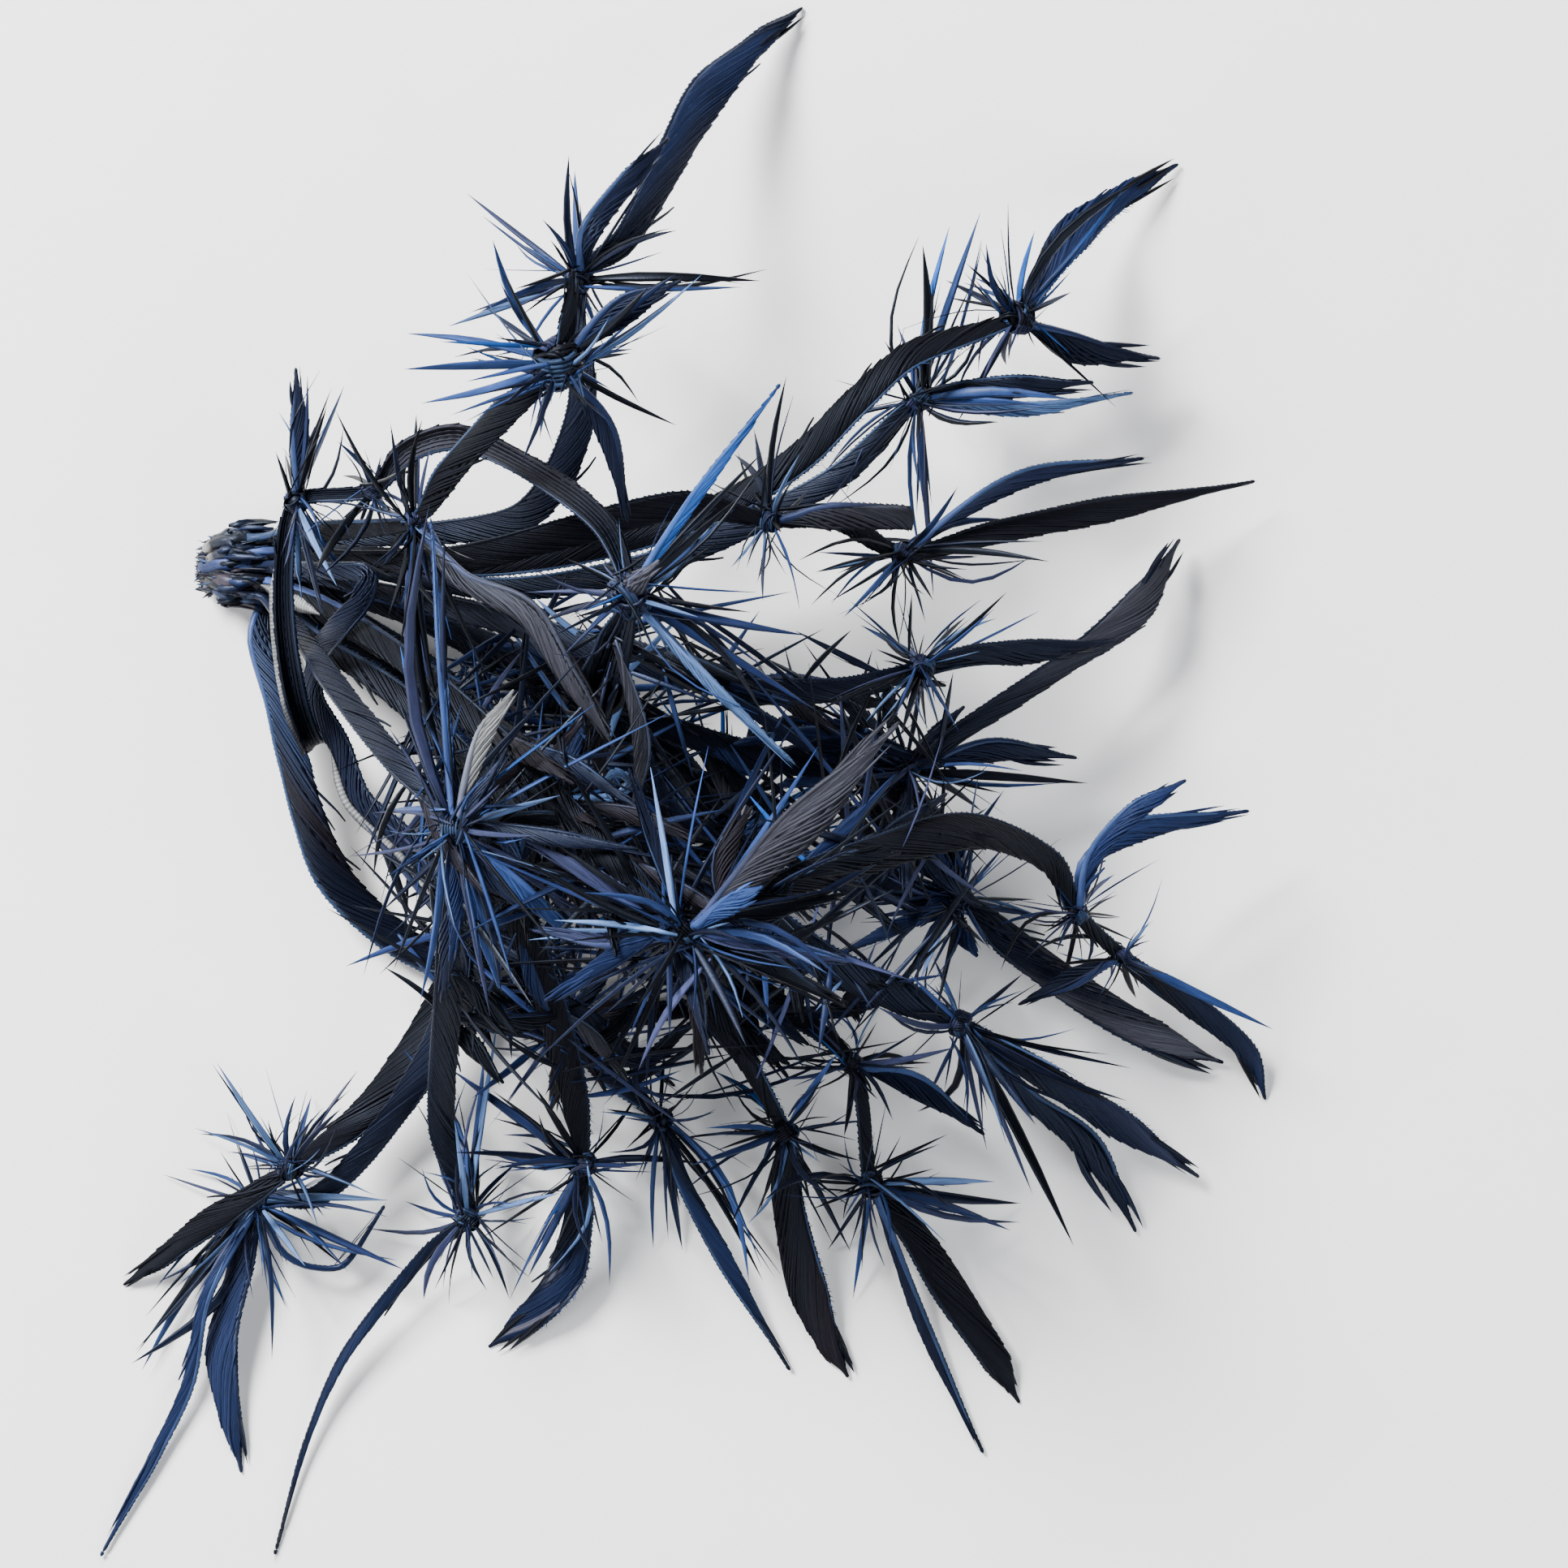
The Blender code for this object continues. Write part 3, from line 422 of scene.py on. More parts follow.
STRIPS["strip_lower_right"] = (2, 3, "feather_navy", [
    way(440, 768, 12, 2.6),
    way(570, 880, 21, 3.6),
    knot(666, 987, 27, 2.6,
         [(765, 965), (560, 960), (700, 1090), (760, 1050), (690, 900), (735, 960), (720, 1060),
          (600, 1060), (640, 1110), (650, 880)],
         [[(722, 985, 33, 0.8), (762, 980, 40, 1.2), (777, 963, 43, 1.2), (757, 951, 45, 1.0),
           (740, 968, 44, 0)]], leaf_faces=(STEEL_AND_HIGHLIGHT,)),
    way(810, 1056, 29, 5.0),
    way(930, 1122, 27, 4.4),
    way(1016, 1185, 23, 5.2),
    way(1105, 1226, 18, 5.4),
    knot(1184, 1262, 15, 3.0,
         [(1388, 1356), (1393, 1316), (1276, 1386), (1130, 1370), (1120, 1200), (1377, 1361),
          (1240, 1409), (1216, 1417), (1080, 1240), (1322, 1366), (1260, 1200), (1245, 1290),
          (1323, 1535), (1150, 1180)],
         [[(1262, 1350, 9, 2.8), (1340, 1412, 5, 4.4), (1402, 1522, 0.5, 0)]]),
    way(1279, 1322, 12, 4.0, DEEP * 0.6),
    way(1370, 1380, 7, 5.0, VIOLET * 0.6),
    way(1480, 1452, 2, 0),
])
STRIPS["strip_bottom_right"] = (0, 3, "feather_black_navy", [
    way(440, 800, 3.4, 2.4),
    way(640, 930, 6, 3.4),
    way(800, 1080, 8.5, 3.8),
    way(940, 1222, 11, 3.8),
    knot(1049, 1310, 11, 2.6,
         [(1180, 1290), (940, 1300), (1000, 1260), (985, 1350), (1040, 1400), (1080, 1260),
          (1100, 1380), (1010, 1240), (960, 1330), (1130, 1310)],
         [[(1130, 1340, 10, 3.8), (1216, 1400, 8, 0)]]),
    knot(1074, 1459, 8, 3.0,
         [(1226, 1456), (1256, 1483), (1245, 1516), (1051, 1600), (940, 1480), (1257, 1506),
          (1180, 1500), (1150, 1440), (1000, 1490), (960, 1450), (1090, 1560), (1020, 1540),
          (1040, 1400), (1110, 1400)],
         [[(1140, 1640, 2, 2.0), (1215, 1798, 0.5, 0)]]),
    way(1120, 1510, 6, 4.2),
    way(1170, 1588, 3.5, 5.8),
    way(1225, 1672, 2, 4.4),
    way(1256, 1729, 0, 0),
])
STRIPS["strip_dark_leaf"] = (1, 3, "feather_black_navy", [
    way(440, 782, 8, 2.6),
    way(600, 880, 13.5, 3.6),
    way(740, 1030, 17, 4.0),
    way(860, 1210, 17, 4.0),
    knot(967, 1396, 11, 3.0,
         [(850, 1436), (1048, 1542), (1030, 1300), (880, 1320), (900, 1510), (1075, 1380),
          (1020, 1470), (930, 1500), (870, 1390), (900, 1350), (1060, 1430), (1000, 1510),
          (840, 1470), (1010, 1330)]),
    way(968, 1470, 7, 4.6),
    way(993, 1585, 3, 6.0, BROWN),
    way(1020, 1655, 1.5, 3.6),
    way(1045, 1697, 0.5, 0),
])
STRIPS["strip_outer_sweep"] = (1, 4, "feather_navy", [
    way(320, 790, 6.0, 3.4, SLATE),
    way(342, 855, 8.0, 4.4, SLATE),
    way(360, 930, 8.5, 5.0, BROWN),
    way(380, 1005, 8.0, 5.4),
    way(412, 1082, 6.5, 5.6),
    way(479, 1149, 4.4, 5.2),
    way(552, 1195, 2.8, 4.4),
    knot(690, 1272, 4, 2.4,
         [(640, 1200), (770, 1240), (720, 1180), (600, 1290), (750, 1330), (780, 1280),
          (660, 1180), (700, 1340), (640, 1310)]),
    way(750, 1325, 5.0, 3.2),
    knot(814, 1379, 7, 2.6,
         [(770, 1300), (805, 1538), (860, 1330), (962, 1570), (740, 1370), (841, 1541),
          (940, 1578), (790, 1450), (750, 1420), (870, 1420), (880, 1370), (820, 1290),
          (923, 1580)]),
    way(840, 1450, 6, 2.2, DEEP * 0.9),
    way(889, 1545, 4, 2.6, DEEP * 0.5),
    way(977, 1695, 0.5, 0),
])
STRIPS["strip_bottom_leaf"] = (2, 4, "feather_black_navy", [
    way(390, 790, 14, 2.8),
    way(500, 866, 25, 3.8),
    way(600, 980, 33, 4.6),
    way(632, 1100, 32, 5.0),
    way(680, 1243, 23, 4.8),
    way(705, 1340, 15, 4.4),
    knot(718, 1434, 10, 3.0,
         [(751, 1583), (555, 1317), (560, 1420), (860, 1433), (651, 1573), (790, 1340),
          (660, 1340), (590, 1415), (800, 1433), (628, 1601), (730, 1550), (640, 1380),
          (780, 1480), (690, 1500), (610, 1440)]),
    way(712, 1500, 7, 4.4, DEEP * 0.5),
    way(700, 1562, 4.4, 5.8, DEEP * 0.5),
    way(690, 1581, 3.6, 5.6, DUSK * 4),
    way(678, 1597, 3.1, 5.2, DEEP * 0.5),
    way(650, 1625, 1.9, 4.4, DEEP * 0.5),
    way(602, 1660, 0, 0),
])
STRIPS["strip_left_front"] = (3, 4, "feather_navy", [
    way(365, 775, 16.5, 2.8),
    way(412, 842, 34, 3.4),
    way(485, 935, 51, 3.6),
    knot(560, 1020, 56, 3.2,
         [(529, 622), (493, 796), (618, 1225), (604, 1252), (473, 1082), (716, 1162), (690, 980),
          (640, 1010), (580, 1180), (520, 1100), (500, 1060), (600, 1150), (660, 1030),
          (500, 960), (620, 930), (545, 900), (640, 1060)],
         [[(598, 905, 61, 2.6), (634, 848, 62, 0)], [(650, 1105, 56, 2.4), (714, 1160, 52, 0)],
          [(588, 1130, 54, 2.0), (617, 1223, 50, 0)], [(545, 820, 58, 1.2), (530, 630, 52, 0)]],
         leaf_faces=(PALE, BLUE * 1.4, BLUE, BLUE)),
    way(557, 1100, 49, 3.6),
    way(552, 1228, 36, 4.2),
    way(545, 1390, 17, 4.0),
    knot(576, 1500, 8.5, 3.0,
         [(498, 1294), (529, 1289), (613, 1258), (553, 1606), (651, 1573), (499, 1480),
          (690, 1470), (597, 1294), (522, 1601), (628, 1601), (560, 1380), (640, 1430),
          (520, 1440), (545, 1330), (600, 1590), (660, 1500)]),
    way(530, 1540, 6.5, 2.0, DEEP * 0.5),
    way(427, 1667, 3.4, 1.5, DEEP * 0.7),
    way(380, 1770, 1.6, 0.7, DEEP * 0.5),
    way(336, 1924, 0, 0),
])
STRIPS["strip_bottom_left"] = (3, 2, "feather_bright_navy", [
    way(350, 701, 16.5, 2.0),
    way(395, 704, 24, 2.4),
    way(452, 708, 29, 3.0),
    way(446, 738, 29, 3.2),
    way(420, 768, 26.5, 3.4),
    way(393, 806, 19.5, 3.4),
    way(386, 856, 17, 3.4),
    way(418, 918, 13, 3.4),
    way(442, 985, 13, 3.8),
    way(510, 1050, 14, 4.2),
    way(560, 1140, 16, 4.6),
    way(545, 1270, 17, 4.6),
    way(465, 1400, 11, 3.8),
    way(390, 1474, 7, 3.2),
    knot(317, 1482, 4, 2.8,
         [(335, 1676), (352, 1610), (167, 1664), (175, 1688), (499, 1565), (230, 1440),
          (162, 1680), (210, 1610), (240, 1600), (190, 1590), (376, 1560), (423, 1560),
          (478, 1479), (240, 1660), (330, 1590), (420, 1438), (290, 1400)],
         [[(254, 1596, 5.6, 1.6), (232, 1704, 2.4, 1.8), (193, 1788, 1.2, 1.6), (121, 1923, 0.5, 0)],
          [(346, 1541, 4.5, 0.6), (376, 1560, 4.2, 0.6), (423, 1560, 4.2, 0.6), (478, 1479, 6, 0)]],
         leaf_faces=(DEEP, DEEP * 0.7)),
    way(296, 1560, 3.8, 4.2, DEEP),
    way(272, 1660, 2.6, 5.2, DEEP),
    way(282, 1740, 1.6, 3.4, DEEP * 0.8),
    way(298, 1816, 0, 0),
])
STRIPS["strip_left_leaf"] = (0, 2, "feather_black_navy", [
    way(440, 762, 5.5, 2.4),
    way(560, 850, 9, 3.2),
    way(618, 960, 10, 4.0),
    way(612, 1080, 9.5, 5.0),
    way(562, 1205, 9, 5.6),
    way(500, 1310, 9.5, 5.6),
    way(440, 1380, 8.5, 4.6),
    knot(358, 1440, 13, 2.8,
         [(267, 1309), (305, 1365), (240, 1390), (384, 1350), (440, 1320), (244, 1397),
          (364, 1350), (384, 1378), (421, 1365), (290, 1420), (300, 1440), (400, 1500),
          (330, 1380)]),
    way(310, 1472, 12.5, 3.2),
    way(262, 1502, 8.5, 4.2),
    way(205, 1545, 3.5, 3.0),
    way(150, 1585, 0, 0),
])


def unit(vectors, tiny=0.0):
    """The vectors, each made one long."""
    return vectors / (np.linalg.norm(vectors, axis=-1, keepdims=True) + tiny)


def keep_above(points, height):
    """Raise the points that lie lower than this height up to it."""
    points[..., 2] = np.maximum(points[..., 2], height)


class Line:
    """A smooth line through a strip's stops, with its width and its level side, read by length."""

    def __init__(self, stops, chance, roll_degrees=ROLL_DEGREES):
        places = np.array([stop["at"] for stop in stops])
        padded = np.vstack([2 * places[0] - places[1], places, 2 * places[-1] - places[-2]])
        points, widths, self.stop_steps = [], [], []
        for i, (stop, later) in enumerate(zip(stops, stops[1:])):
            a, b, c, d = padded[i : i + 4]
            span = np.linalg.norm(c - b)
            a = b + (a - b) * min(1.0, span / np.linalg.norm(a - b))
            d = c + (d - c) * min(1.0, span / np.linalg.norm(d - c))
            self.stop_steps.append(len(widths))
            t = np.arange(max(2, round(span / FINE_STEP))) / max(2, round(span / FINE_STEP))
            ease = t * t * (3 - 2 * t)
            points.append(
                np.outer(2 * t**3 - 3 * t**2 + 1, b) + np.outer(t**3 - 2 * t**2 + t, (c - a) / 2)
                + np.outer(3 * t**2 - 2 * t**3, c) + np.outer(t**3 - t**2, (d - b) / 2)
            )
            widths.extend(stop["width"] * (1 - ease) + later["width"] * ease)
        self.stop_steps.append(len(widths))
        self.points = np.vstack(points + [places[-1:]])
        self.widths = np.array(widths + [stops[-1]["width"]])
        steps = np.linalg.norm(np.diff(self.points, axis=0), axis=1)
        self.length_to = np.concatenate([[0.0], np.cumsum(steps)])
        self.length = self.length_to[-1]
        self.turn_sides(chance, roll_degrees)

    def turn_sides(self, chance, roll_degrees):
        """Level sides that never jump where the line stands up, then rolled a little about it."""
        forward = unit(np.gradient(self.points, axis=0))
        sides = np.cross(forward, (0, 0, 1))
        last = sides[0] / (np.linalg.norm(sides[0]) + TINY)
        for i, flat in enumerate(sides):
            if flat @ last < 0:
                flat = -flat
            last = last + flat * LEVELLING
            last -= forward[i] * (last @ forward[i])
            last /= np.linalg.norm(last)
            sides[i] = last
        ups = np.cross(sides, forward)
        phases = chance.uniform(0, math.tau, 3)
        roll = np.sin(self.length_to / 9 + phases[0]) + np.sin(self.length_to / 21 + phases[1])
        roll = np.radians(roll_degrees) * (0.5 * roll + 0.3 * np.sin(self.length_to / 5 + phases[2]))
        room = np.clip(self.points[:, 2] / (self.widths / 2 + 0.4), 0.1, 1)
        roll = (roll * room)[:, None]
        self.sides = sides * np.cos(roll) + ups * np.sin(roll)
        self.ups = ups * np.cos(roll) - sides * np.sin(roll)

    def read(self, values, lengths):
        return np.interp(lengths, self.length_to, values)

    def width(self, lengths):
        return self.read(self.widths, lengths)

    def at(self, lengths):
        """The points, sides and ups at these lengths."""
        three = []
        for source in (self.points, self.sides, self.ups):
            three.append(np.stack([self.read(source[:, k], lengths) for k in range(3)], axis=-1))
        return three

    def stop_length(self, index):
        return self.length_to[self.stop_steps[index]]


class Weave:
    """Gathers thin tubes into one mesh, with a dye, a strand value and a gloss at each point."""

    def __init__(self):
        self.points, self.quads, self.caps = [], [], []
        self.dyes, self.strands, self.glosses = [], [], []
        self.total = 0

    def add(self, centres, hints, widths, thicks, section, dyes, gloss, chance):
        """Tubes (n) of s stations each: centres and up hints are (n, s, 3), widths and thicks (n, s)."""
        n, s = centres.shape[:2]
        k = len(section)
        forward = unit(np.gradient(centres, axis=1), TINY)
        sides = unit(np.cross(forward, hints), TINY)
        ups = np.cross(sides, forward)
        out = section[:, 0] * (widths / 2)[:, :, None]
        above = section[:, 1] * thicks[:, :, None]
        points = centres[:, :, None] + sides[:, :, None] * out[..., None] + ups[:, :, None] * above[..., None]
        keep_above(points, LOWEST)
        first = self.total + np.arange(n)[:, None, None] * (s * k)
        ring = first + np.arange(s - 1)[None, :, None] * k
        corner = np.arange(k)[None, None, :]
        after = (corner + 1) % k
        quads = np.stack([ring + corner, ring + k + corner, ring + k + after, ring + after], axis=-1)
        self.quads.append(quads.reshape(-1, 4))
        ends = self.total + np.arange(n)[:, None] * (s * k) + np.arange(k)[None, :]
        self.caps.append(np.vstack([ends, (ends + (s - 1) * k)[:, ::-1]]))
        self.points.append(points.reshape(-1, 3))
        dyes = np.broadcast_to(np.asarray(dyes)[:, None, None] if np.ndim(dyes) == 2 else
                               np.asarray(dyes)[:, :, None], (n, s, k, 3))
        self.dyes.append(dyes.reshape(-1, 3))
        runs = np.cumsum(np.linalg.norm(np.diff(centres, axis=1, prepend=centres[:, :1]), axis=2), axis=1)
        strands = np.empty((n, s, k, 3))
        strands[..., 0] = runs[:, :, None]
        strands[..., 1] = section[:, 0]
        strands[..., 2] = chance.uniform(0, 100, n)[:, None, None]
        self.strands.append(strands.reshape(-1, 3))
        self.glosses.append(np.full(n * s * k, gloss))
        self.total += n * s * k

    def make(self, name, material):
        """The tubes as one object, in metres."""
        mesh = bpy.data.meshes.new(name)
        quads = np.vstack(self.quads)
        loops = [quads.ravel()]
        sizes = [np.full(len(quads), 4)]
        for caps in self.caps:
            loops.append(caps.ravel())
            sizes.append(np.full(len(caps), caps.shape[1]))
        loops = np.concatenate(loops).astype(np.int32)
        sizes = np.concatenate(sizes).astype(np.int32)
        starts = np.concatenate([[0], np.cumsum(sizes)[:-1]]).astype(np.int32)
        points = np.vstack(self.points) * MM
        mesh.vertices.add(len(points))
        mesh.vertices.foreach_set("co", points.astype(np.float32).ravel())
        mesh.loops.add(len(loops))
        mesh.loops.foreach_set("vertex_index", loops)
        mesh.polygons.add(len(sizes))
        mesh.polygons.foreach_set("loop_start", starts)
        mesh.update(calc_edges=True)
        mesh.shade_smooth()
        ones = np.ones((len(points), 1))
        for key, rows in (("dye", np.vstack(self.dyes)), ("strand", np.vstack(self.strands))):
            layer = mesh.attributes.new(key, "FLOAT_COLOR", "POINT")
            layer.data.foreach_set("color", np.hstack([rows, ones]).astype(np.float32).ravel())
        layer = mesh.attributes.new("gloss", "FLOAT", "POINT")
        layer.data.foreach_set("value", np.concatenate(self.glosses).astype(np.float32))
        mesh.materials.append(material)
        piece = bpy.data.objects.new(name, mesh)
        bpy.context.scene.collection.objects.link(piece)
        return piece


def clumps(count, size, chance):
    """Random values from -1 to 1 that stay alike for about size neighbours, then jump."""
    groups = np.cumsum(chance.random(count) < 1 / size)
    return chance.uniform(-1, 1, groups[-1] + 1)[groups]


def drift(count, size, chance):
    """Random values from -1 to 1 that wander slowly from one neighbour to the next."""
    knots = chance.uniform(-1, 1, max(2, int(count / size) + 2))
    return np.interp(np.arange(count) / size, np.arange(len(knots)), knots)


def shades(base, count, spread, chance):
    """count colours near base, each a little lighter or darker."""
    tones = np.exp(chance.normal(0, spread, count))
    return np.outer(tones, base)


def barb_roots(start, end, chance):
    """Where the barbs between two lengths of a strip leave its quill."""
    count = max(int((end - start) / BARB_PITCH), 2)
    return start + (np.arange(count) + chance.uniform(-0.25, 0.25, count)) * BARB_PITCH


def face_dyes(line, stops, dye, lengths):
    """The colour of a strip's face at these lengths, blended from stop to stop."""
    marks = [line.stop_length(i) for i in range(len(stops))]
    faces = np.array([dye if stop["face"] is None else stop["face"] for stop in stops])
    return np.stack([np.interp(lengths, marks, faces[:, k]) for k in range(3)], axis=-1)


def add_vane(weave, line, roots, hand, faces, advance, chance, uneven, stations=BARB_STATIONS):
    """Barbs from these roots on the quill's edge, leaning forward over the strip's width."""
    count = len(roots)
    group = clumps(count, 14, chance) * uneven
    reach = advance * line.width(roots) * (1 + 0.06 * group) + 0.8
    share = np.linspace(0, 1, stations)
    left = np.maximum(line.length - roots, 0.4)[:, None]
    along = line.length - left * np.exp(-reach[:, None] * share / left)
    centre, side, up = line.at(along)
    local = line.width(along)
    stray = chance.random(count) < 0.05 * uneven
    past = chance.normal(0, 0.02, count) + stray * chance.uniform(0.05, 0.4, count)
    across = -0.5 + (1 - (1 - share) ** 1.3) * (1 + past[:, None])
    crown = CROWN * local * (1 - 4 * across**2)
    lift = 0.08 * group + chance.normal(0, 0.03, count) + 0.6 * stray * chance.uniform(-1, 1, count)
    height = crown + lift[:, None] * share
    centres = centre + side * (hand * across * local)[..., None] + up * height[..., None]
    keep_above(centres, 0.2)
    # Painted shade: on light faces every second barb is narrowed and darkened, standing for the shade in the
    # gaps between barbs.
    striped = faces.mean(axis=1) > SHADED_GAPS_ABOVE
    gap_shade = np.clip(1 - 3 * faces.mean(axis=1) ** 0.8, 0.35, 1)
    dark = striped & (np.arange(count) % 2 == 0)
    widths = (BARB_WIDTH * (1 - 0.6 * share**3)) * np.where(dark, 0.7, 1.05)[:, None]
    tones = np.where(dark, gap_shade, 1) * (1 + 0.25 * drift(count, 22, chance))
    dyes = faces * (np.exp(chance.normal(0, 0.11, count)) * tones)[:, None]
    weave.add(centres, up, widths, np.full(widths.shape, BARB_THICK), RIDGE, dyes, 0.45, chance)


def add_web(weave, line, lengths, hand, faces, chance):
    """The thin web that the barbs' fine hooks make under them, as lanes along the strip."""
    centre, side, up = line.at(lengths)
    width = line.width(lengths)
    lanes = (np.arange(WEB_LANES) + 0.5) / WEB_LANES - 0.5
    height = CROWN * width * (1 - 4 * lanes[:, None] ** 2) - 0.1
    centres = centre + side * (hand * lanes[:, None] * width * 0.94)[..., None] + up * height[..., None]
    keep_above(centres, 0.15)
    widths = np.broadcast_to(width / WEB_LANES * 1.25, centres.shape[:2])
    hints = np.broadcast_to(up, centres.shape)
    # Painted shade: the web under the barbs takes the face's colour at 0.7.
    dyes = np.broadcast_to(faces * 0.7, centres.shape)
    weave.add(centres, hints, widths, np.full(widths.shape, 0.07), RIDGE, dyes, 0.3, chance)


def rachis_line(line, lengths, hand, radius):
    """The points of the quill on the strip's edge, and the strip's up and side there."""
    centre, side, up = line.at(lengths)
    offset = np.maximum(line.width(lengths) / 2 - radius * 0.5, 0) * np.clip(lengths / 6, 0, 1)
    centres = centre - side * (hand * offset)[:, None]
    keep_above(centres, radius + LOWEST)
    return centres, side, up


def add_rachis(weave, line, start, end, hand, chance, shows, far_dye_with_highlight):
    """The split quill along the strip's edge, thick and shiny at the stub and thin further on."""
    bright, shine_length = shows
    lengths = np.linspace(start, end, max(3, int((end - start) / RACHIS_STEP)))
    fade = (bright > 0) * np.exp(-lengths / RACHIS_TAPER)
    radius = RACHIS_FAR + (RACHIS_ROOT - RACHIS_FAR) * fade
    radius *= np.clip((line.length - lengths) / 12, 0.25, 1)
    centres, _, up = rachis_line(line, lengths, hand, radius)
    # Beyond its blue root the quill takes the far colour, which carries a painted steel-blue highlight.
    blend = bright * np.clip(1.2 - lengths / shine_length, 0, 1)[:, None]
    dyes = (QUILL * blend + far_dye_with_highlight * (1 - blend))[None]
    weave.add(centres[None], up[None], 2 * radius[None], 0.8 * radius[None], ROUND, dyes, 0.75, chance)


def add_pale_edge(weave, line, start, end, hand, wide, chance):
    """The pale, finely barred back of a strip, where its edge rolls into view; its darker bars are painted
    shade between the barbs.
    """
    lengths = np.arange(start, end, PALE_BAR_PITCH)
    centre, side, up = line.at(lengths)
    taper = np.clip(np.minimum(lengths - start, end - lengths) / 5, 0.15, 1)
    centres = centre + side * (hand * 0.46 * line.width(lengths))[:, None] + up * 0.35
    # Painted shade: every second bar is darkened to 0.35.
    shade_bars = np.where(np.arange(len(lengths)) % 2 == 0, 0.35, 1.0) * chance.uniform(0.8, 1.1, len(lengths))
    dyes = (PALE * 1.9 * shade_bars[:, None])[None]
    weave.add(centres[None], up[None], wide * taper[None], 0.3 * taper[None], FOLD, dyes, 0.3, chance)


def add_fuzz(weave, line, start, end, hand, chance):
    """Short downy hairs along the outer edge of a quill."""
    count = int((end - start) / FUZZ_PITCH)
    roots = start + np.arange(count) * FUZZ_PITCH
    base, side, up = rachis_line(line, roots, hand, np.full(count, RACHIS_FAR))
    forward = np.cross(up, side)
    out = forward * chance.uniform(0.2, 1.1, (count, 1)) - side * hand * chance.uniform(0.2, 0.9, (count, 1))
    out += up * chance.normal(0, 0.4, (count, 1))
    share = np.linspace(0, 1, 3)[None, :, None]
    centres = base[:, None] + out[:, None] * share
    keep_above(centres, 0.1)
    widths = 0.16 * np.array((1.0, 0.8, 0.2)) * np.ones((count, 1))
    hints = np.broadcast_to(up[:, None], centres.shape)
    weave.add(centres, hints, widths, widths / 2, RIDGE, shades(BLUE, count, 0.3, chance), 0.4, chance)


def add_blades(weave, roots, tips, widths, dyes, chance, bend, section=FOLD, stations=BLADE_STATIONS):
    """Pointed blades from their roots in a knot to their tips, each creased along its length."""
    n = len(tips)
    t = np.linspace(0, 1, stations)
    line = tips - roots
    length = np.linalg.norm(line, axis=1)
    way_out = line / length[:, None]
    swing = chance.normal(0, 1, (n, 3))
    swing -= way_out * np.sum(swing * way_out, axis=1, keepdims=True)
    swing = unit(swing, TINY)
    arc = (np.sin(math.pi * t) * (1 - 0.3 * t))[None, :, None]
    bow = (length * chance.normal(0, bend, n))[:, None, None]
    centres = roots[:, None] + line[:, None] * t[None, :, None] + swing[:, None] * arc * bow
    keep_above(centres, 0.15)
    outline = np.interp(t, (0, 0.12, 0.35, 0.65, 0.87, 1), (0.34, 0.62, 1, 0.78, 0.36, 0.02))
    hints = np.array((0, 0, 1)) + chance.normal(0, 0.5, (n, 3))
    hints = np.broadcast_to(hints[:, None], centres.shape)
    wide = widths[:, None] * outline
    weave.add(centres, hints, wide, np.minimum(0.18 * wide + 0.03, 0.25), section, dyes, 0.6, chance)


def raised_tip(centre, px, py, order):
    """A blade's tip. The shorter it looks from above, the more it stands up or leans down."""
    level = place(px, py, centre[2])
    seen = np.linalg.norm(level - centre)
    lean = 0.55 * math.sqrt(max(0.0, BLADE_LONGEST**2 - seen**2)) + 0.08 * seen
    z = centre[2] + (lean if order % 2 == 0 else -lean)
    return place(px, py, min(max(z, FLOOR_GAP), centre[2] + 0.9 * seen))


def beside(roots, tips, radius, degrees, shares, chance):
    """Blades beside the given ones: nearly parallel, a share as long, from near the same root."""
    line = tips - roots
    length = np.linalg.norm(line, axis=1, keepdims=True)
    shift = chance.normal(0, radius * 0.3, line.shape)
    swing = chance.normal(0, 1, line.shape) * length * math.tan(math.radians(degrees))
    made = roots + (line + swing) * shares[:, None] + shift
    keep_above(made, 0.3)
    return roots + shift, made


def blade_dyes(count, bright, chance):
    """Colours for blades: most are dark navy, some blue and a few light, the light ones partly painted
    highlights.
    """
    choices = np.array([INK, NAVY, DEEP, VIOLET, BLUE, STEEL_AND_HIGHLIGHT, AZURE_AND_HIGHLIGHT])
    weights = np.array([0.27, 0.25, 0.19, 0.08, 0.12, 0.07, 0.02])
    weights = weights * np.exp(0.8 * bright * np.arange(len(weights)))
    picks = chance.choice(len(choices), count, p=weights / weights.sum())
    return choices[picks] * np.exp(chance.normal(0, 0.2, (count, 1)))


def even_directions(count, turn):
    """Directions spread evenly over a ball, on a spiral."""
    i = np.arange(count)
    z = 1 - 2 * (i + 0.5) / count
    level = np.sqrt(1 - z * z)
    angle = math.pi * (3 - math.sqrt(5)) * i + turn
    return np.stack([np.cos(angle) * level, np.sin(angle) * level, z], axis=1)


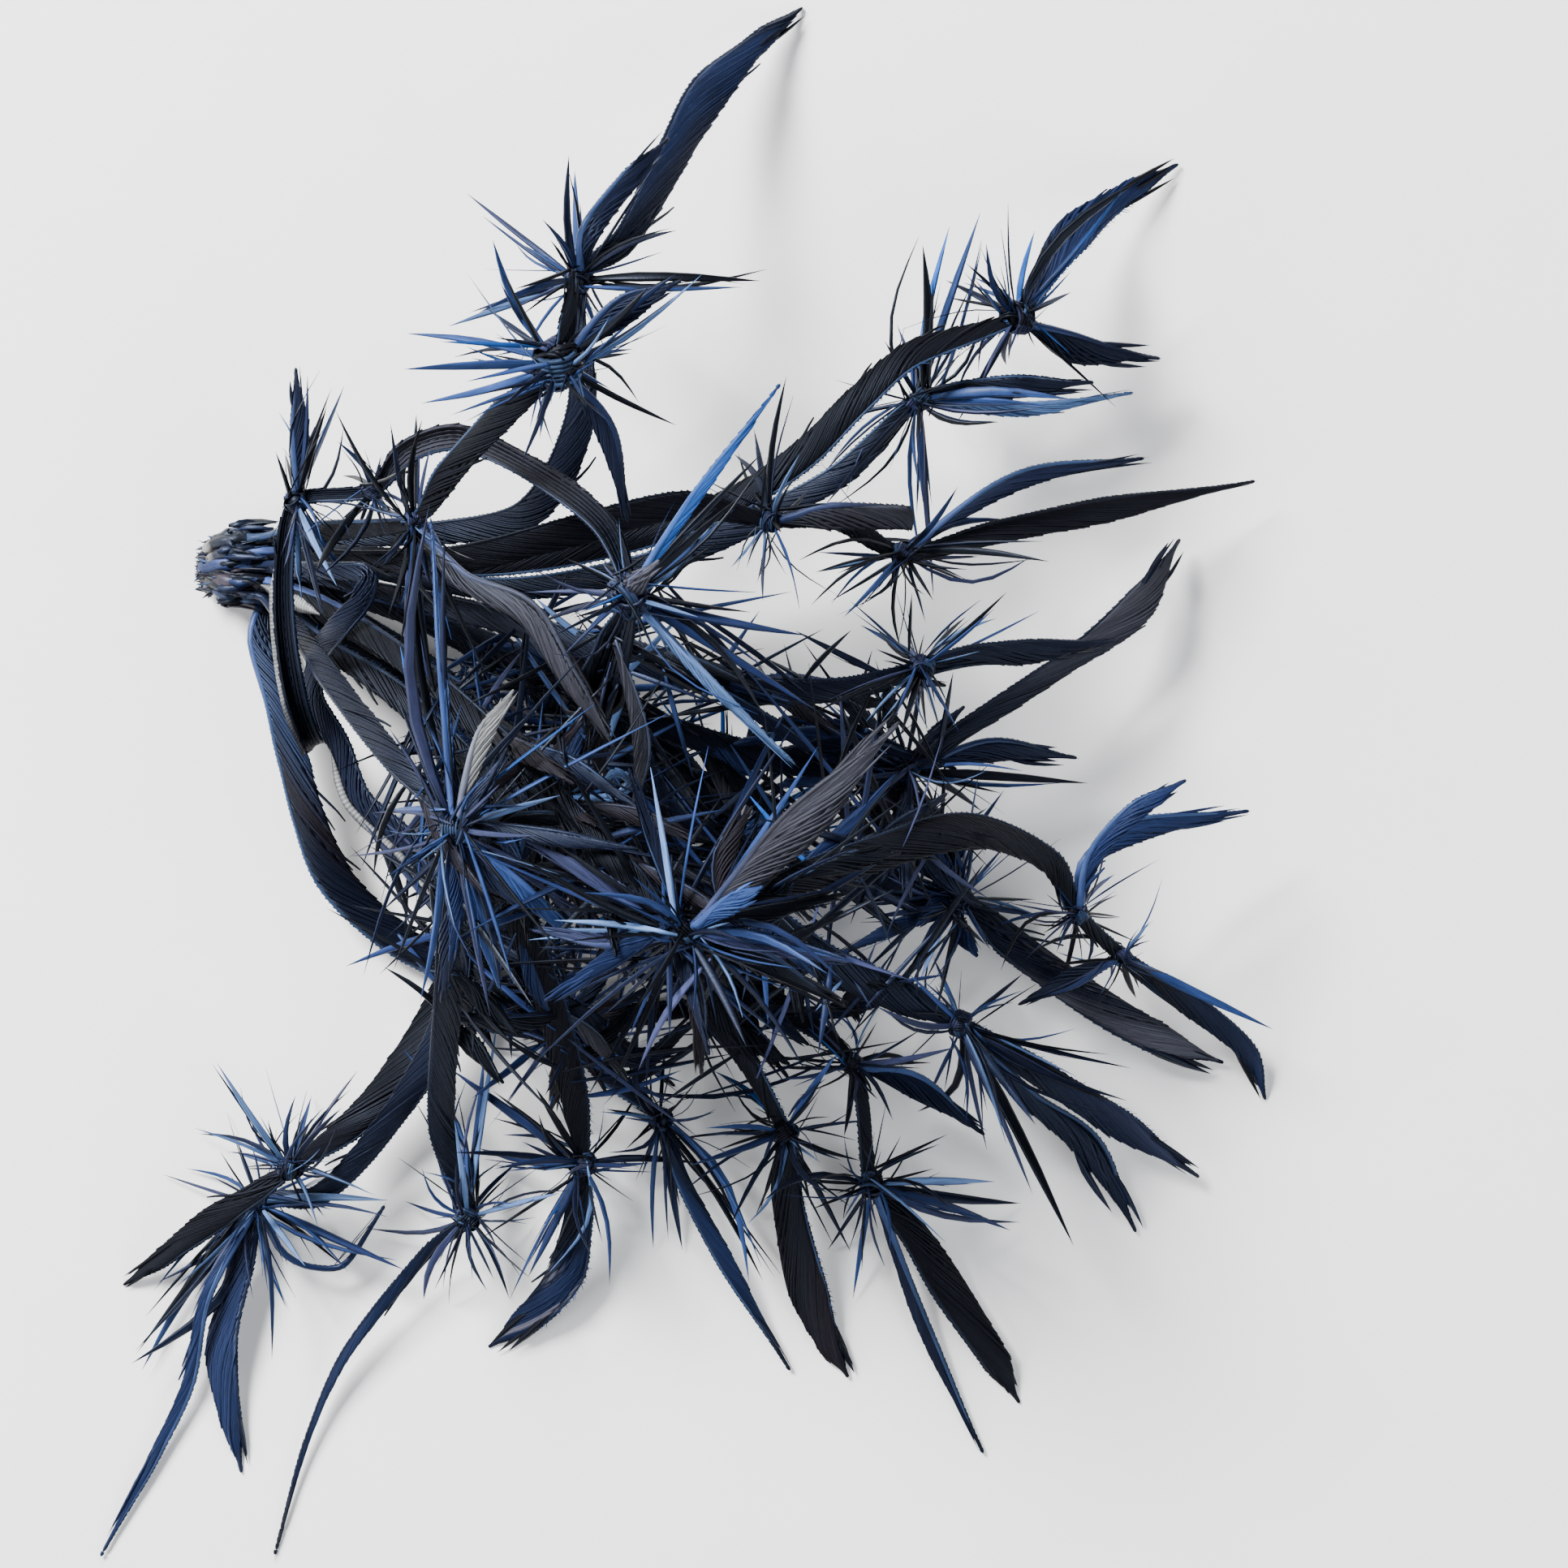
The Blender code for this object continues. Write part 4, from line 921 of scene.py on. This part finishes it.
def add_knot_core(weave, stop, dye, chance):
    """The tied strip itself: a dark lump, with striped bands wound over it."""
    centre, radius = stop["at"], stop["radius"]
    t = np.linspace(-1, 1, LUMP_STATIONS)
    axis = chance.normal(0, 1, 3)
    axis[2] *= 0.4
    axis /= np.linalg.norm(axis)
    lump = centre + axis * (t * radius * 0.62)[:, None]
    radius = radius * KNOT_TIGHTNESS
    fat = (radius * 1.5 * np.sqrt(np.maximum(1 - t**2, 0.01)))[None]
    hint = np.cross(axis, chance.normal(0, 1, 3))
    hints = np.broadcast_to(hint, (1, LUMP_STATIONS, 3))
    weave.add(lump[None], hints, fat, fat / 2, ROUND, dye[None] * 0.5, 0.3, chance)
    for shade in (dye, dye * 1.6, VIOLET * 0.8, STEEL_AND_HIGHLIGHT * 0.3):
        normal = chance.normal(0, 1, 3)
        normal /= np.linalg.norm(normal)
        first = np.cross(normal, axis + chance.normal(0, 0.3, 3))
        first /= np.linalg.norm(first)
        second = np.cross(normal, first)
        angle = np.linspace(0, chance.uniform(4.0, 5.8), BAND_STATIONS) + chance.uniform(0, math.tau)
        round_it = np.outer(np.cos(angle), first) + np.outer(np.sin(angle), second)
        lanes = np.linspace(-0.5, 0.5, BAND_LANES) * radius * 0.9
        swell = radius * (0.82 + 0.12 * np.sin(2 * angle + chance.uniform(0, 6)))
        centres = centre + round_it[None] * swell[None, :, None] + normal * lanes[:, None, None]
        keep_above(centres, 0.25)
        hints = np.broadcast_to(round_it, centres.shape)
        widths = np.full(centres.shape[:2], radius * 0.24)
        tones = shades(shade, BAND_LANES, 0.3, chance)
        weave.add(centres, hints, widths, widths * 0.3, RIDGE, tones, 0.5, chance)


def add_leaf(weave, centre, leaf, face, chance):
    """A leaf-like blade: a thin quill with barbs that lean towards its tip."""
    stops = [way_at(centre, 1.0)]
    for px, py, z, width in leaf:
        stops.append(way(px, py, z, width))
    add_slip(weave, stops, NAVY if face is None else face, chance, LEAF_QUILL)


def root_highlight_fade(line, lengths, dye):
    """A leaf's colour at these lengths: a painted highlight near its root, darker towards its tip."""
    return np.outer(1.25 - 0.6 * lengths / line.length, dye)


def add_slip(weave, stops, dye, chance, shows=DULL_QUILL):
    """A narrow piece of vane along these stops, with a painted highlight near its root, darker towards its
    tip.
    """
    line = Line(stops, chance, SLIP_ROLL_DEGREES)
    lengths = np.linspace(0.8, line.length - 0.2, max(4, int(line.length / WEB_STEP)))
    add_web(weave, line, lengths, 1, root_highlight_fade(line, lengths, dye), chance)
    roots = barb_roots(1.2, line.length - 0.5, chance)
    add_vane(weave, line, roots, 1, root_highlight_fade(line, roots, dye), LEAF_ADVANCE, chance, 0.5, SLIP_STATIONS)
    # Painted highlight: a random share of steel blue is added to the quill's colour.
    quill_highlight_dye = dye + STEEL_AND_HIGHLIGHT * chance.choice((0.0, 0.06, 0.25))
    add_rachis(weave, line, 0.5, line.length - 1, 1, chance, shows, quill_highlight_dye)
    add_tip_splits(weave, line, line.length, dye, chance)


def add_tip_splits(weave, line, leaf_length, dye, chance):
    """The points that the tip of a leaf splits into."""
    starts = line.length - leaf_length * chance.uniform(0.2, 0.5, TIP_SPLITS)
    ends = line.length - leaf_length * chance.uniform(0, 0.14, TIP_SPLITS)
    offsets = chance.uniform(-0.42, 0.42, (TIP_SPLITS, 1))
    root, side, _ = line.at(starts)
    tip, _, _ = line.at(ends)
    width = line.width(starts)[:, None]
    roots = root + side * offsets * width
    tips = tip + side * offsets * width * 1.15
    keep_above(tips, 0.3)
    wide = 0.34 * width[:, 0] * chance.uniform(0.5, 1, TIP_SPLITS)
    add_blades(weave, roots, tips, wide, shades(dye, TIP_SPLITS, 0.3, chance), chance, 0.02)


def add_slips(weave, starts, directions, lengths, widths, dyes, chance):
    """Pieces of vane inside the spray: each leaves its start in a direction and turns a little."""
    tips = pulled_in(starts + directions * lengths[:, None], chance)
    for start, tip, width, dye in zip(starts, tips, widths, dyes):
        length = np.linalg.norm(tip - start)
        middle = (start + tip) / 2 + chance.normal(0, 0.05, 3) * length
        stops = [way_at(start, 1.0), way_at(lifted(middle), width), way_at(lifted(tip), 0.0)]
        if length > SHORTEST_SLIP:
            add_slip(weave, stops, dye, chance)


def pulled_in(points, chance):
    """The points, with those outside the spray's inside drawn to about its edge, unevenly."""
    middle = place(*INSIDE_MIDDLE)
    away = (points - middle) / INSIDE_REACH
    far = np.maximum(np.linalg.norm(away, axis=1, keepdims=True), 1.0)
    edge = np.where(far > 1, chance.uniform(0.6, 1.15, far.shape), 1)
    return middle + away * np.minimum(edge / far, 1) * INSIDE_REACH


def inside(points):
    """Whether each point lies in the dense middle of the spray."""
    away = (points - place(*INSIDE_MIDDLE)) / INSIDE_REACH
    return np.linalg.norm(away, axis=1) < 1


def lifted(point):
    """The point, kept clear of the floor."""
    return np.array((point[0], point[1], max(point[2], FLOOR_GAP)))


def way_at(at, width):
    return {"at": at, "width": width, "face": None}


def add_knot(weave, stop, dye, bright, chance):
    """A knot with its leaves, its blades as seen from above, and thinner ones all round."""
    centre, radius = stop["at"], stop["radius"]
    bright = bright + chance.normal(0, 0.2)
    add_knot_core(weave, stop, dye, chance)
    for number, leaf in enumerate(stop["leaves"]):
        faces = stop["leaf_faces"]
        add_leaf(weave, centre, leaf, faces[number] if number < len(faces) else None, chance)
    tips = np.array([raised_tip(centre, px, py, i) for i, (px, py) in enumerate(stop["tips"])])
    n = len(tips)
    roots = np.broadcast_to(centre, tips.shape)
    seen = np.linalg.norm(tips - centre, axis=1)
    main = np.clip(0.058 * seen, 0.6, 1.6) * chance.uniform(0.6, 1.3, n)
    add_blades(weave, roots, tips, main, blade_dyes(n, bright, chance), chance, 0.09, TWIN)
    for share, width, degrees in ((0.9, 0.55, 3.0), (0.66, 0.5, 9.0)):
        shares = share * chance.uniform(0.7, 1.08, n)
        starts, ends = beside(roots, tips, radius, degrees, shares, chance)
        add_blades(weave, starts, ends, main * width, blade_dyes(n, bright, chance), chance, 0.1)
    add_loose_blades(weave, centre, radius, FILL_BLADES, (0.3, 0.85), (0.4, 1.0), bright, 0.06, chance)
    add_loose_blades(weave, centre, radius, HAIR_BLADES, (0.3, 0.8), (0.2, 0.32), bright, 0.10, chance)
    if inside(centre[None])[0]:
        add_tangle(weave, centre + chance.normal(0, radius * 0.5, (TANGLE_BLADES, 3)), bright, chance)
        starts = centre + chance.normal(0, radius * 0.4, (TANGLE_SLIPS, 3))
        add_inside_slips(weave, starts, level_directions(TANGLE_SLIPS, 0.2, chance), chance)


def add_inside_slips(weave, starts, ways, chance):
    """Near-black pieces of vane from these starts."""
    count = len(starts)
    lengths = chance.uniform(13, 30, count)
    widths = chance.uniform(1.8, 3.4, count)
    add_slips(weave, starts, ways, lengths, widths, slip_dyes(count, chance), chance)


def level_directions(count, rise, chance):
    """Directions all round that rise or fall only a little."""
    angle = chance.uniform(0, math.tau, count)
    around = np.stack([np.cos(angle), np.sin(angle), chance.normal(0, rise, count)], axis=1)
    return unit(around)


def slip_dyes(count, chance):
    """Colours for pieces of vane: nearly black, now and then navy or grey-backed."""
    choices = np.array([INK, BROWN, NAVY, DEEP, DUSK])
    return choices[chance.choice(len(choices), count, p=(0.36, 0.2, 0.28, 0.1, 0.06))]


def add_loose_blades(weave, centre, radius, count, shares, widths, bright, bend, chance):
    """Blades in a few bunches from a knot, as shares of the longest one's length."""
    bunches = even_directions(BUNCHES, chance.uniform(0, math.tau))
    around = bunches[chance.integers(BUNCHES, size=count)] + chance.normal(0, 0.4, (count, 3))
    around = unit(around)
    tips = centre + around * (BLADE_LONGEST * chance.uniform(*shares, count))[:, None]
    keep_above(tips, FLOOR_GAP)
    roots = centre + chance.normal(0, radius * 0.3, (count, 3))
    wide = chance.uniform(*widths, count)
    add_blades(weave, roots, tips, wide, blade_dyes(count, bright, chance), chance, bend)


def add_tangle(weave, roots, bright, chance):
    """Long, nearly level blades that cross their neighbours in the middle of the spray, painted brighter
    towards its front.
    """
    count = len(roots)
    ways = level_directions(count, 0.24, chance)
    tips = pulled_in(roots + ways * chance.uniform(13, 36, (count, 1)), chance)
    keep_above(tips, FLOOR_GAP)
    keep_above(roots, FLOOR_GAP)
    # Painted light and shade: blades rooted in front of the shade edge are painted brighter, those behind it
    # darker.
    near = np.clip((TANGLE_SHADE_EDGE - roots[:, 1:2]) / 12, 0, 1)
    dyes = blade_dyes(count, bright, chance) * (0.85 + 1.1 * near)
    widths = np.minimum(chance.uniform(0.5, 1.35, count), 0.1 * np.linalg.norm(tips - roots, axis=1))
    add_blades(weave, roots, tips, widths, dyes, chance, 0.04, TWIN)


def quill_start(row, column):
    """Where a strip's quill meets the stub: its own cell of the grid on the stub's face."""
    y = ((STUB_COLUMNS - 1) / 2 - column) * QUILL_PITCH
    z = STUB_TALL / 2 + (row - (STUB_ROWS - 1) / 2) * QUILL_PITCH
    return np.array((STUB_LENGTH / 2 + GAP, y, z))


def build_strip(name, row, column, slot, stops, chance):
    """One strip: its quill, the barbs between its knots, its knots, and its leaf-shaped end."""
    start = quill_start(row, column)
    outside = way_at(start + (QUILL_STEP, 0, 0.1), QUILL_WIDTH)
    stops = [way_at(start, QUILL_WIDTH), outside] + stops
    line = Line(stops, chance)
    weave = Weave()
    dye, bright = SLOT_DYES[slot]
    hand = 1 if chance.random() < 0.5 else -1
    knots = [i for i, stop in enumerate(stops) if "radius" in stop]
    last_knot = line.stop_length(knots[-1])
    lengths = np.linspace(3.2, line.length - 0.3, int(line.length / WEB_STEP))
    add_web(weave, line, lengths, hand, face_dyes(line, stops, dye, lengths), chance)
    roots = barb_roots(3.5, line.length - 0.4, chance)
    advance = np.where(roots > last_knot, LEAF_ADVANCE, BARB_ADVANCE)
    ragged = face_dyes(line, stops, dye, roots + chance.normal(0, 0.8, len(roots)))
    add_vane(weave, line, roots, hand, ragged, advance, chance, 0.7)
    # Painted highlight: a random share of steel blue is added to the quill's colour.
    quill_highlight_dye = dye + STEEL_AND_HIGHLIGHT * chance.choice((0.02, 0.08, 0.3))
    shows = QUILL_SHOWS.get(name, QUILL_HIDES)
    add_rachis(weave, line, -0.3, line.length - 2, hand, chance, shows, quill_highlight_dye)
    if name in DOWNY:
        add_fuzz(weave, line, 14, line.length - 8, hand, chance)
    if name in PALE_EDGES:
        first, last, wide = PALE_EDGES[name]
        add_pale_edge(weave, line, line.stop_length(first), line.stop_length(last), hand, wide, chance)
    for index in knots:
        add_knot(weave, stops[index], dye, bright, chance)
    add_tip_splits(weave, line, min(line.length - last_knot, LONGEST_SPLIT), dye, chance)
    add_undergrowth(weave, line, bright, chance)
    return weave


def add_undergrowth(weave, line, bright, chance):
    """Split barbs and pieces of vane all along a strip, where it runs through the middle."""
    begins = np.arange(6, line.length, UNDERGROWTH_STEP)
    starts = line.at(begins)[0] + chance.normal(0, 0.8, (len(begins), 3))
    keep_above(starts, FLOOR_GAP)
    ahead = unit(line.at(begins + 2)[0] - line.at(begins)[0])
    kept = inside(starts)
    add_tangle(weave, starts[kept], bright - 0.3, chance)
    first = np.flatnonzero(kept & (np.arange(len(begins)) % 3 == 0))
    ways = ahead[first] + chance.normal(0, 0.3, (len(first), 3)) * (1, 1, 0.4)
    add_inside_slips(weave, starts[first], unit(ways), chance)


UPRIGHT = np.broadcast_to((0.0, 0.0, 1.0), (1, STUB_STATIONS, 3))


def build_stub(chance):
    """The glued stub: cut quills in a dark mass of glue, with splintered, pithy ends."""
    weave = Weave()
    xs = np.linspace(-STUB_LENGTH / 2, STUB_LENGTH / 2, STUB_STATIONS)
    swell = 0.94 - 0.4 * np.clip(-xs / (STUB_LENGTH / 2), 0, 1) ** 1.5
    angle = np.arange(STUB_CORNERS) * math.tau / STUB_CORNERS
    squarish = np.stack([np.cos(angle), np.sin(angle)], axis=1)
    squarish = np.sign(squarish) * np.abs(squarish) ** 0.6
    squarish *= chance.uniform(0.9, 1.04, (STUB_CORNERS, 1))
    centres = np.stack([xs, np.zeros(STUB_STATIONS), STUB_TALL / 2 * swell], axis=1)[None]
    wide = (STUB_WIDTH * swell * 0.62 * chance.uniform(0.9, 1.1, STUB_STATIONS))[None]
    weave.add(centres, UPRIGHT, wide, wide * 0.42, squarish, np.array([GLUE * 0.6]), 0.2, chance)
    tints = np.array([BROWN * 2, BROWN * 4, INK * 2, DUSK * 1.5, BROWN * 2, SLATE * 1.5])
    for row in range(STUB_ROWS):
        for column in range(STUB_COLUMNS):
            tint = CELL_TINTS.get((row, column), tints[chance.integers(len(tints))])
            add_cut_quill(weave, quill_start(row, column), tint, chance)
    add_splinters(weave, chance)
    return weave


def add_shreds(weave, roots, tips, thinnest, widest, dyes, bend, chance):
    """Short splinters between these points."""
    widths = chance.uniform(thinnest, widest, len(tips))
    add_blades(weave, roots, tips, widths, dyes, chance, bend, FOLD, SHORT_STATIONS)


def add_cut_quill(weave, end, tint, chance):
    """One quill through the stub, and the splinters that its cut end frays into."""
    back = -STUB_LENGTH / 2 - chance.uniform(-1.6, 1.2)
    share = np.linspace(0, 1, STUB_STATIONS)
    x = back + (STUB_LENGTH / 2 + 4.2 - back) * share
    squeeze = 0.94 - 0.36 * np.clip(-x / (STUB_LENGTH / 2), 0, 1)
    middle = STUB_TALL / 2 * np.minimum(squeeze, 1)
    end = end + chance.normal(0, 0.5, 3)
    centres = np.stack([x, end[1] * squeeze, middle + (end[2] - STUB_TALL / 2) * squeeze], axis=1)
    centres[1:-1] += chance.normal(0, 0.18, (STUB_STATIONS - 2, 3))
    radius = chance.uniform(0.7, 1.25) * chance.uniform(0.85, 1.15, STUB_STATIONS)
    pale = np.clip((-x - 1.6) / 1.6, 0, 1)[:, None] * chance.uniform(0, 1)
    dyes = (tint * (1 - pale) + PITH * pale) * np.exp(chance.normal(0, 0.35, (STUB_STATIONS, 1)))
    weave.add(centres[None], UPRIGHT, 2 * radius[None], radius[None], ROUND, dyes[None], 0.6, chance)
    count = CUT_ENDS
    ahead = centres[2] + chance.normal(0, 0.7, (count, 3))
    far = ahead + (1, 0, 0) * chance.uniform(2, 9, (count, 1)) + chance.normal(0, 0.8, (count, 3))
    keep_above(far, 0.5)
    keep_above(ahead, 0.5)
    strands = slip_dyes(count, chance) * chance.uniform(0.6, 2.4, (count, 1))
    add_shreds(weave, ahead, far, 0.5, 2.2, strands, 0.06, chance)
    roots = centres[0] + chance.normal(0, 0.7, (count, 3)) + (1, 0, 0) * chance.uniform(0.4, 3.5, (count, 1))
    tips = centres[0] + chance.normal(0, 0.8, (count, 3)) - chance.uniform(-0.8, 2.2, (count, 1)) * (1, 0, 0)
    keep_above(roots, 0.4)
    keep_above(tips, 0.4)
    tips[:, 0] = np.maximum(tips[:, 0], -5.0)
    ends = np.array([INK, DUSK, DUSK * 2.5, PITH * 0.5, STEEL_AND_HIGHLIGHT * 0.5])[chance.integers(5, size=count)]
    add_shreds(weave, roots, tips, 0.3, 1.1, ends, 0.12, chance)


def add_splinters(weave, chance):
    """Split ends of quill and bits of barb that are glued all round the stub."""
    count = SPLINTERS
    angle = chance.uniform(0, math.tau, count)
    x = chance.uniform(-4.4, 2.6, count)
    narrow = 0.88 - 0.34 * np.clip(-x / (STUB_LENGTH / 2), 0, 1)
    out = narrow * chance.uniform(0.8, 1.12, count)
    y = np.cos(angle) * out * STUB_WIDTH * 0.44
    z = STUB_TALL / 2 * np.minimum(narrow + 0.1, 1) + np.sin(angle) * out * STUB_TALL * 0.44
    roots = np.stack([x, y, np.maximum(z, 0.5)], axis=1)
    runs = np.stack([np.ones(count), chance.normal(0, 0.14, count), chance.normal(0, 0.12, count)], axis=1)
    tips = roots + runs * chance.uniform(1.2, 6.0, (count, 1))
    keep_above(tips, 0.5)
    choices = np.array([INK, BROWN * 2, BROWN, DUSK, DUSK * 2, SLATE, QUILL * 0.7, PITH * 0.7])
    picks = chance.choice(len(choices), count, p=(0.2, 0.14, 0.12, 0.14, 0.14, 0.1, 0.04, 0.12))
    add_shreds(weave, roots, tips, 0.4, 2.0, choices[picks], 0.06, chance)


class Nodes:
    """Makes shader nodes and links in few words."""

    def __init__(self, material):
        material.use_nodes = True
        self.tree = material.node_tree
        self.shader = self.tree.nodes["Principled BSDF"]

    def new(self, kind, settings=None, **inputs):
        node = self.tree.nodes.new(kind)
        for key, value in (settings or {}).items():
            setattr(node, key, value)
        for key, value in inputs.items():
            socket = node.inputs[int(key[1:])] if key[0] == "i" and key[1:].isdigit() else node.inputs[key]
            if isinstance(value, bpy.types.NodeSocket):
                self.tree.links.new(value, socket)
            else:
                socket.default_value = value
        return node

    def to_shader(self, socket, name):
        self.tree.links.new(socket, self.shader.inputs[name])


def barb_material(name, dull, shiny, specular):
    """Dyed barbs: each keeps its own dye, with streaks along it and barbules across it."""
    material = bpy.data.materials.new(name)
    nodes = Nodes(material)
    dye = nodes.new("ShaderNodeAttribute", {"attribute_name": "dye"})
    gloss = nodes.new("ShaderNodeAttribute", {"attribute_name": "gloss"})
    strand = nodes.new("ShaderNodeAttribute", {"attribute_name": "strand"})
    place_on_barb = strand.outputs["Vector"]
    multiply = {"operation": "MULTIPLY"}
    scale = {"operation": "SCALE"}
    stretch = nodes.new("ShaderNodeVectorMath", multiply, i0=place_on_barb, i1=STREAK_SCALE)
    streaks = nodes.new("ShaderNodeTexNoise", Vector=stretch.outputs[0], Scale=1.0, Detail=3.0, Roughness=0.6)
    tone = nodes.new("ShaderNodeMapRange", i0=streaks.outputs["Fac"], i1=0.3, i2=0.7, i3=0.62, i4=1.45)
    colour = nodes.new("ShaderNodeVectorMath", scale, i0=dye.outputs["Color"], Scale=tone.outputs[0])
    nodes.to_shader(colour.outputs[0], "Base Color")
    rough = nodes.new("ShaderNodeMapRange", i0=gloss.outputs["Fac"], i1=0.0, i2=1.0, i3=dull, i4=shiny)
    add_share = {"operation": "MULTIPLY_ADD"}
    uneven = nodes.new("ShaderNodeMath", add_share, i0=streaks.outputs["Fac"], i1=0.25, i2=rough.outputs[0])
    nodes.to_shader(uneven.outputs[0], "Roughness")
    close = nodes.new("ShaderNodeVectorMath", multiply, i0=place_on_barb, i1=BARBULE_SCALE)
    barbules = nodes.new("ShaderNodeTexNoise", Vector=close.outputs[0], Scale=1.0, Detail=2.0)
    bump = nodes.new("ShaderNodeBump", Strength=0.35, Distance=0.0001, Height=barbules.outputs["Fac"])
    nodes.to_shader(bump.outputs[0], "Normal")
    nodes.shader.inputs["Specular IOR Level"].default_value = specular
    nodes.shader.inputs["Specular Tint"].default_value = (0.6, 0.72, 1.0, 1)
    return material


MATERIALS = {
    "feather_navy": barb_material("feather_navy", 0.42, 0.16, 0.16),
    "feather_black_navy": barb_material("feather_black_navy", 0.46, 0.18, 0.12),
    "feather_bright_navy": barb_material("feather_bright_navy", 0.40, 0.16, 0.20),
    "glue": barb_material("glue", 0.6, 0.15, 0.3),
}


def finish_piece(weave, name, slot, node):
    """One mesh, which stands for the solid of this node."""
    piece = weave.make(name, MATERIALS[slot])
    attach(piece, "root")
    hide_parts(node)


def add_floor():
    bpy.ops.mesh.primitive_plane_add(size=FLOOR_SIZE, location=(0, 0, -0.0001))
    floor = bpy.context.object
    floor.name = "floor"
    material = bpy.data.materials.new("pale_floor")
    nodes = Nodes(material)
    noise = nodes.new("ShaderNodeTexNoise", Scale=400.0, Detail=2.0)
    tone = nodes.new("ShaderNodeMapRange", i0=noise.outputs["Fac"], i3=0.84, i4=0.88)
    nodes.to_shader(tone.outputs[0], "Base Color")
    nodes.shader.inputs["Roughness"].default_value = 0.8
    floor.data.materials.append(material)


def add_lamp(name, at, power, size, colour):
    """A soft square lamp that points at the spray's middle."""
    lamp = bpy.data.lights.new(name, "AREA")
    lamp.energy = power
    lamp.size = size
    lamp.color = colour
    thing = bpy.data.objects.new(name, lamp)
    thing.location = at
    thing.rotation_euler = (Vector(LAMP_AIM) - Vector(at)).to_track_quat("-Z", "Y").to_euler()
    bpy.context.scene.collection.objects.link(thing)


def add_studio():
    add_floor()
    for lamp in LAMPS:
        add_lamp(*lamp)
    world = bpy.data.worlds.new("studio")
    world.use_nodes = True
    background = world.node_tree.nodes["Background"]
    background.inputs["Color"].default_value = SKY
    background.inputs["Strength"].default_value = SKY_STRENGTH
    bpy.context.scene.world = world
    camera = bpy.data.cameras.new("camera")
    camera.angle = 2 * math.atan(PICTURE_SIDE * GRID / 2 / VIEW_HEIGHT)
    seen_from = bpy.data.objects.new("camera", camera)
    seen_from.location = place(*GRID_CENTRE, 0) * MM
    seen_from.location.z = VIEW_HEIGHT * MM
    bpy.context.scene.collection.objects.link(seen_from)
    bpy.context.scene.camera = seen_from


for number, (name, (row, column, slot, stops)) in enumerate(STRIPS.items()):
    chance = np.random.default_rng(SEED + number)
    weave = build_strip(name, row, column, slot, stops, chance)
    finish_piece(weave, name.replace("strip_", "barbs_"), slot, name)
finish_piece(build_stub(np.random.default_rng(SEED)), "stub_quills", "glue", "glued_stub")
add_studio()
